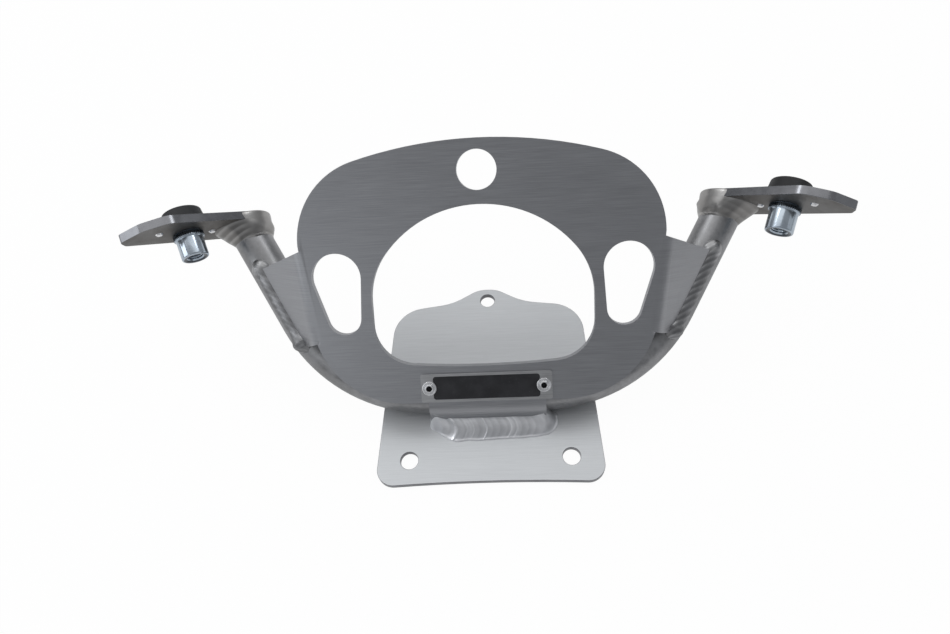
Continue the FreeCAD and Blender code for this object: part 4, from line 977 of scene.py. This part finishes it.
def makeBlindRivet(label, side, s):
    # revolution: tail, shank, flange ring, groove, crown ring, then the hollow with the broken mandrel
    back = -s["grip"]
    head = s["plate"]
    body = roundedProfile([
        (0.0, back - s["tailLength"]), (s["tail"], back - s["tailLength"]), (s["tail"], back),
        (s["shank"], back), (s["shank"], head), (s["flange"], head), (s["flange"], head + s["rim"]),
        (s["grooveOut"], head + s["rim"] + s["rimRise"]),
        (s["grooveOut"] - s["grooveWall"], head + s["groove"]), (s["grooveIn"], head + s["groove"]),
        (s["crown"], head + s["dome"]), (s["cup"], head + s["dome"]),
        (s["cup"] - s["cupTaper"], head + s["dome"] - s["cupDepth"]),
    ], s["round"])
    bottom = head + s["dome"] - s["cupDepth"]
    stubTop = bottom + s["stubRise"]
    edgeIn, edgeRise = s["stubEdge"]
    hollow = np.array([
        (s["stub"], bottom), (s["stub"] - s["stubTaper"], stubTop),
        (s["stub"] - edgeIn, stubTop + edgeRise), (0.0, stubTop + s["stubMiddle"]),
    ])
    profile = np.concatenate([body, hollow])
    foot = sheetFront + upSheet * s["level"] * mm + across * s["offset"] * mm
    points = spunPoints(profile, foot, sheetNormal, side, turns=s["turns"])
    piece = shellPiece(f"{label}NameplateRivet", points, capEnds=False, flip=side < 0)
    # the hollow's walls and the mandrel take the second material, near black: painted shade in the hollow
    dark = np.arange(len(piece.data.polygons)) // s["turns"] >= len(body) - s["hollowRows"]
    piece.data.polygons.foreach_set("material_index", dark.astype(np.int32))
    tidyShell(piece, s["sharp"])
    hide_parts(f"nameplate_rivet_{label}")
    dress(piece, "rivet_metal", rivetMetal, hollowShadeSteel)


for label, side in sides.items():
    makeBlindRivet(label, side, blindRivet)

field = {
    "halfWidth": 24.4, "halfHeight": 5.45, "corner": 1.3, "cornerSteps": 7, "level": 7.2, "proud": 0.12,
    "sink": 0.2, "plate": 1.0, "inset": (0.0, 0.0, 0.06, 0.16), "rises": (0.5, 0.9, 1.0),
}


def makeField(s):
    # thin bar: a rectangle with quarter-circle corners, raised in four rings to a flat top
    quarter = np.linspace(0, np.pi / 2, s["cornerSteps"])
    ring = []
    for signX, signY, turn in ((1, 1, 0), (-1, 1, np.pi / 2), (-1, -1, np.pi), (1, -1, 1.5 * np.pi)):
        ring.append(np.stack([
            signX * (s["halfWidth"] - s["corner"]) + s["corner"] * np.cos(quarter + turn),
            signY * (s["halfHeight"] - s["corner"]) + s["corner"] * np.sin(quarter + turn),
        ], axis=1))
    outline = np.concatenate(ring)
    inset = np.array(s["inset"])[:, None, None]
    level = np.array([-s["sink"], *(s["proud"] * share for share in s["rises"])])
    shrink = 1 - inset / np.array([s["halfWidth"], s["halfHeight"]])
    flat = outline[None] * shrink
    rise = np.repeat((s["plate"] + level)[:, None], len(outline), axis=1)
    points = (sheetFront + flat[..., :1] * mm * across + (flat[..., 1:] + s["level"]) * mm * upSheet
              + rise[..., None] * mm * sheetNormal)
    piece = shellPiece("nameplateField", points)
    dress(piece, "nameplate_metal", darkField)


makeField(field)
print("nuts, pads, rivets and nameplate made")


# floor, light and camera


paleFloor = {
    "rings": (0.0001, 0.5, 2.0, 8.0), "turns": 64, "level": -0.0002, "tone": (0.86, 0.86, 0.86, 1),
    "rough": 0.9, "gloss": 0.1, "seen": 0.97, "mirrored": 0.3,
}


def makeFloor(s):
    # wide flat disc: rings of growing radius about the stay
    around = np.linspace(0, 2 * np.pi, s["turns"], endpoint=False)
    radius = np.array(s["rings"])[:, None]
    x, y = radius * np.cos(around), radius * np.sin(around)
    points = np.stack([x, y, np.full_like(x, s["level"])], axis=-1)
    index, quads = ringQuads(points)
    mesh = bpy.data.meshes.new("paleFloor")
    mesh.from_pydata(points.reshape(-1, 3), [], quads[:, [0, 3, 2, 1]].tolist() + [index[0].tolist()])
    mesh.update()
    floor = bpy.data.objects.new("paleFloor", mesh)
    bpy.context.scene.collection.objects.link(floor)
    material, tree, shader = newMaterial("pale floor", Roughness=s["rough"], Specular_IOR_Level=s["gloss"])
    shader.inputs["Base Color"].default_value = s["tone"]
    glow = addNode(tree, "ShaderNodeEmission", {"Color": (1, 1, 1, 1), "Strength": 1.0})
    path = addNode(tree, "ShaderNodeLightPath")
    seen = mathNode(tree, "MULTIPLY", path.outputs["Is Camera Ray"], s["seen"])
    mirrored = mathNode(tree, "MULTIPLY", path.outputs["Is Glossy Ray"], s["mirrored"])
    blend = addNode(tree, "ShaderNodeMixShader")
    tree.links.new(mathNode(tree, "ADD", seen, mirrored, clamp=True), blend.inputs["Fac"])
    tree.links.new(shader.outputs["BSDF"], blend.inputs[1])
    tree.links.new(glow.outputs["Emission"], blend.inputs[2])
    tree.links.new(blend.outputs["Shader"], tree.nodes["Material Output"].inputs["Surface"])
    mesh.materials.append(material)


def areaLight(name, target, s):
    data = bpy.data.lights.new(name, "AREA")
    data.shape = "RECTANGLE"
    data.size, data.size_y = s["size"]
    data.energy = s["power"]
    data.color = s["tone"]
    lamp = bpy.data.objects.new(name, data)
    lamp.location = s["place"]
    lamp.rotation_mode = "QUATERNION"
    lamp.rotation_quaternion = (Vector(target) - Vector(s["place"])).to_track_quat("-Z", "Y")
    bpy.context.scene.collection.objects.link(lamp)


def makeWorld(s):
    world = bpy.data.worlds.new("studio")
    world.use_nodes = True
    tree = world.node_tree
    ground = tree.nodes["Background"]
    ground.inputs["Color"].default_value = s["tone"]
    ground.inputs["Strength"].default_value = s["strength"]
    white = addNode(tree, "ShaderNodeBackground", {"Color": (1, 1, 1, 1), "Strength": 1.0})
    path = addNode(tree, "ShaderNodeLightPath")
    blend = addNode(tree, "ShaderNodeMixShader")
    tree.links.new(path.outputs["Is Camera Ray"], blend.inputs["Fac"])
    tree.links.new(ground.outputs["Background"], blend.inputs[1])
    tree.links.new(white.outputs["Background"], blend.inputs[2])
    tree.links.new(blend.outputs["Shader"], tree.nodes["World Output"].inputs["Surface"])
    bpy.context.scene.world = world


studio = {"tone": (0.94, 0.965, 1.0, 1), "strength": 0.37}
coolTone, clearTone = (0.94, 0.97, 1.0), (0.95, 0.98, 1.0)
lampTarget = (0, 0.05, 0.03)
lamps = {
    "backBox": {"place": (-0.15, 0.6, 1.15), "size": (2.2, 1.5), "power": 8.6, "tone": (1, 1, 1)},
    "leftBox": {"place": (-1.0, -0.1, 0.55), "size": (0.7, 0.7), "power": 2.6, "tone": coolTone},
    "frontBox": {"place": (-0.61, -0.81, 0.7), "size": (0.8, 0.6), "power": 0.75, "tone": coolTone},
    "rightBox": {"place": (1.0, 0.0, 0.5), "size": (0.7, 0.7), "power": 0.28, "tone": coolTone},
    "leftSpark": {"place": (-0.6, 0.49, 0.92), "size": (0.24, 0.24), "power": 0.9, "tone": clearTone},
    "rightSpark": {"place": (0.6, 0.49, 0.92), "size": (0.24, 0.24), "power": 0.9, "tone": clearTone},
}
makeFloor(paleFloor)
makeWorld(studio)
for name, settings in lamps.items():
    areaLight(name, lampTarget, settings)

sensorWidth, imageWidth, focalPixels = 36, 950, 745.8
view = {
    "place": (15.1 * mm, -115.9 * mm, 337.9 * mm), "lens": focalPixels / imageWidth * sensorWidth,
    "right": (0.9977, -0.0060, -0.0681), "up": (0.0391, 0.8676, 0.4957),
}


def makeCamera(s):
    right = unit(s["right"])
    back = unit(np.cross(right, s["up"]))
    up = np.cross(back, right)
    data = bpy.data.cameras.new("photoView")
    data.sensor_width = sensorWidth
    data.sensor_fit = "HORIZONTAL"
    data.lens = s["lens"]
    data.clip_start = 0.01
    camera = bpy.data.objects.new("photoView", data)
    camera.matrix_world = Matrix(np.column_stack([
        np.append(right, 0), np.append(up, 0), np.append(back, 0), np.append(s["place"], 1),
    ]).tolist())
    bpy.context.scene.collection.objects.link(camera)
    bpy.context.scene.camera = camera


makeCamera(view)
bpy.context.scene.view_settings.view_transform = "Standard"
print("floor, light and camera set")
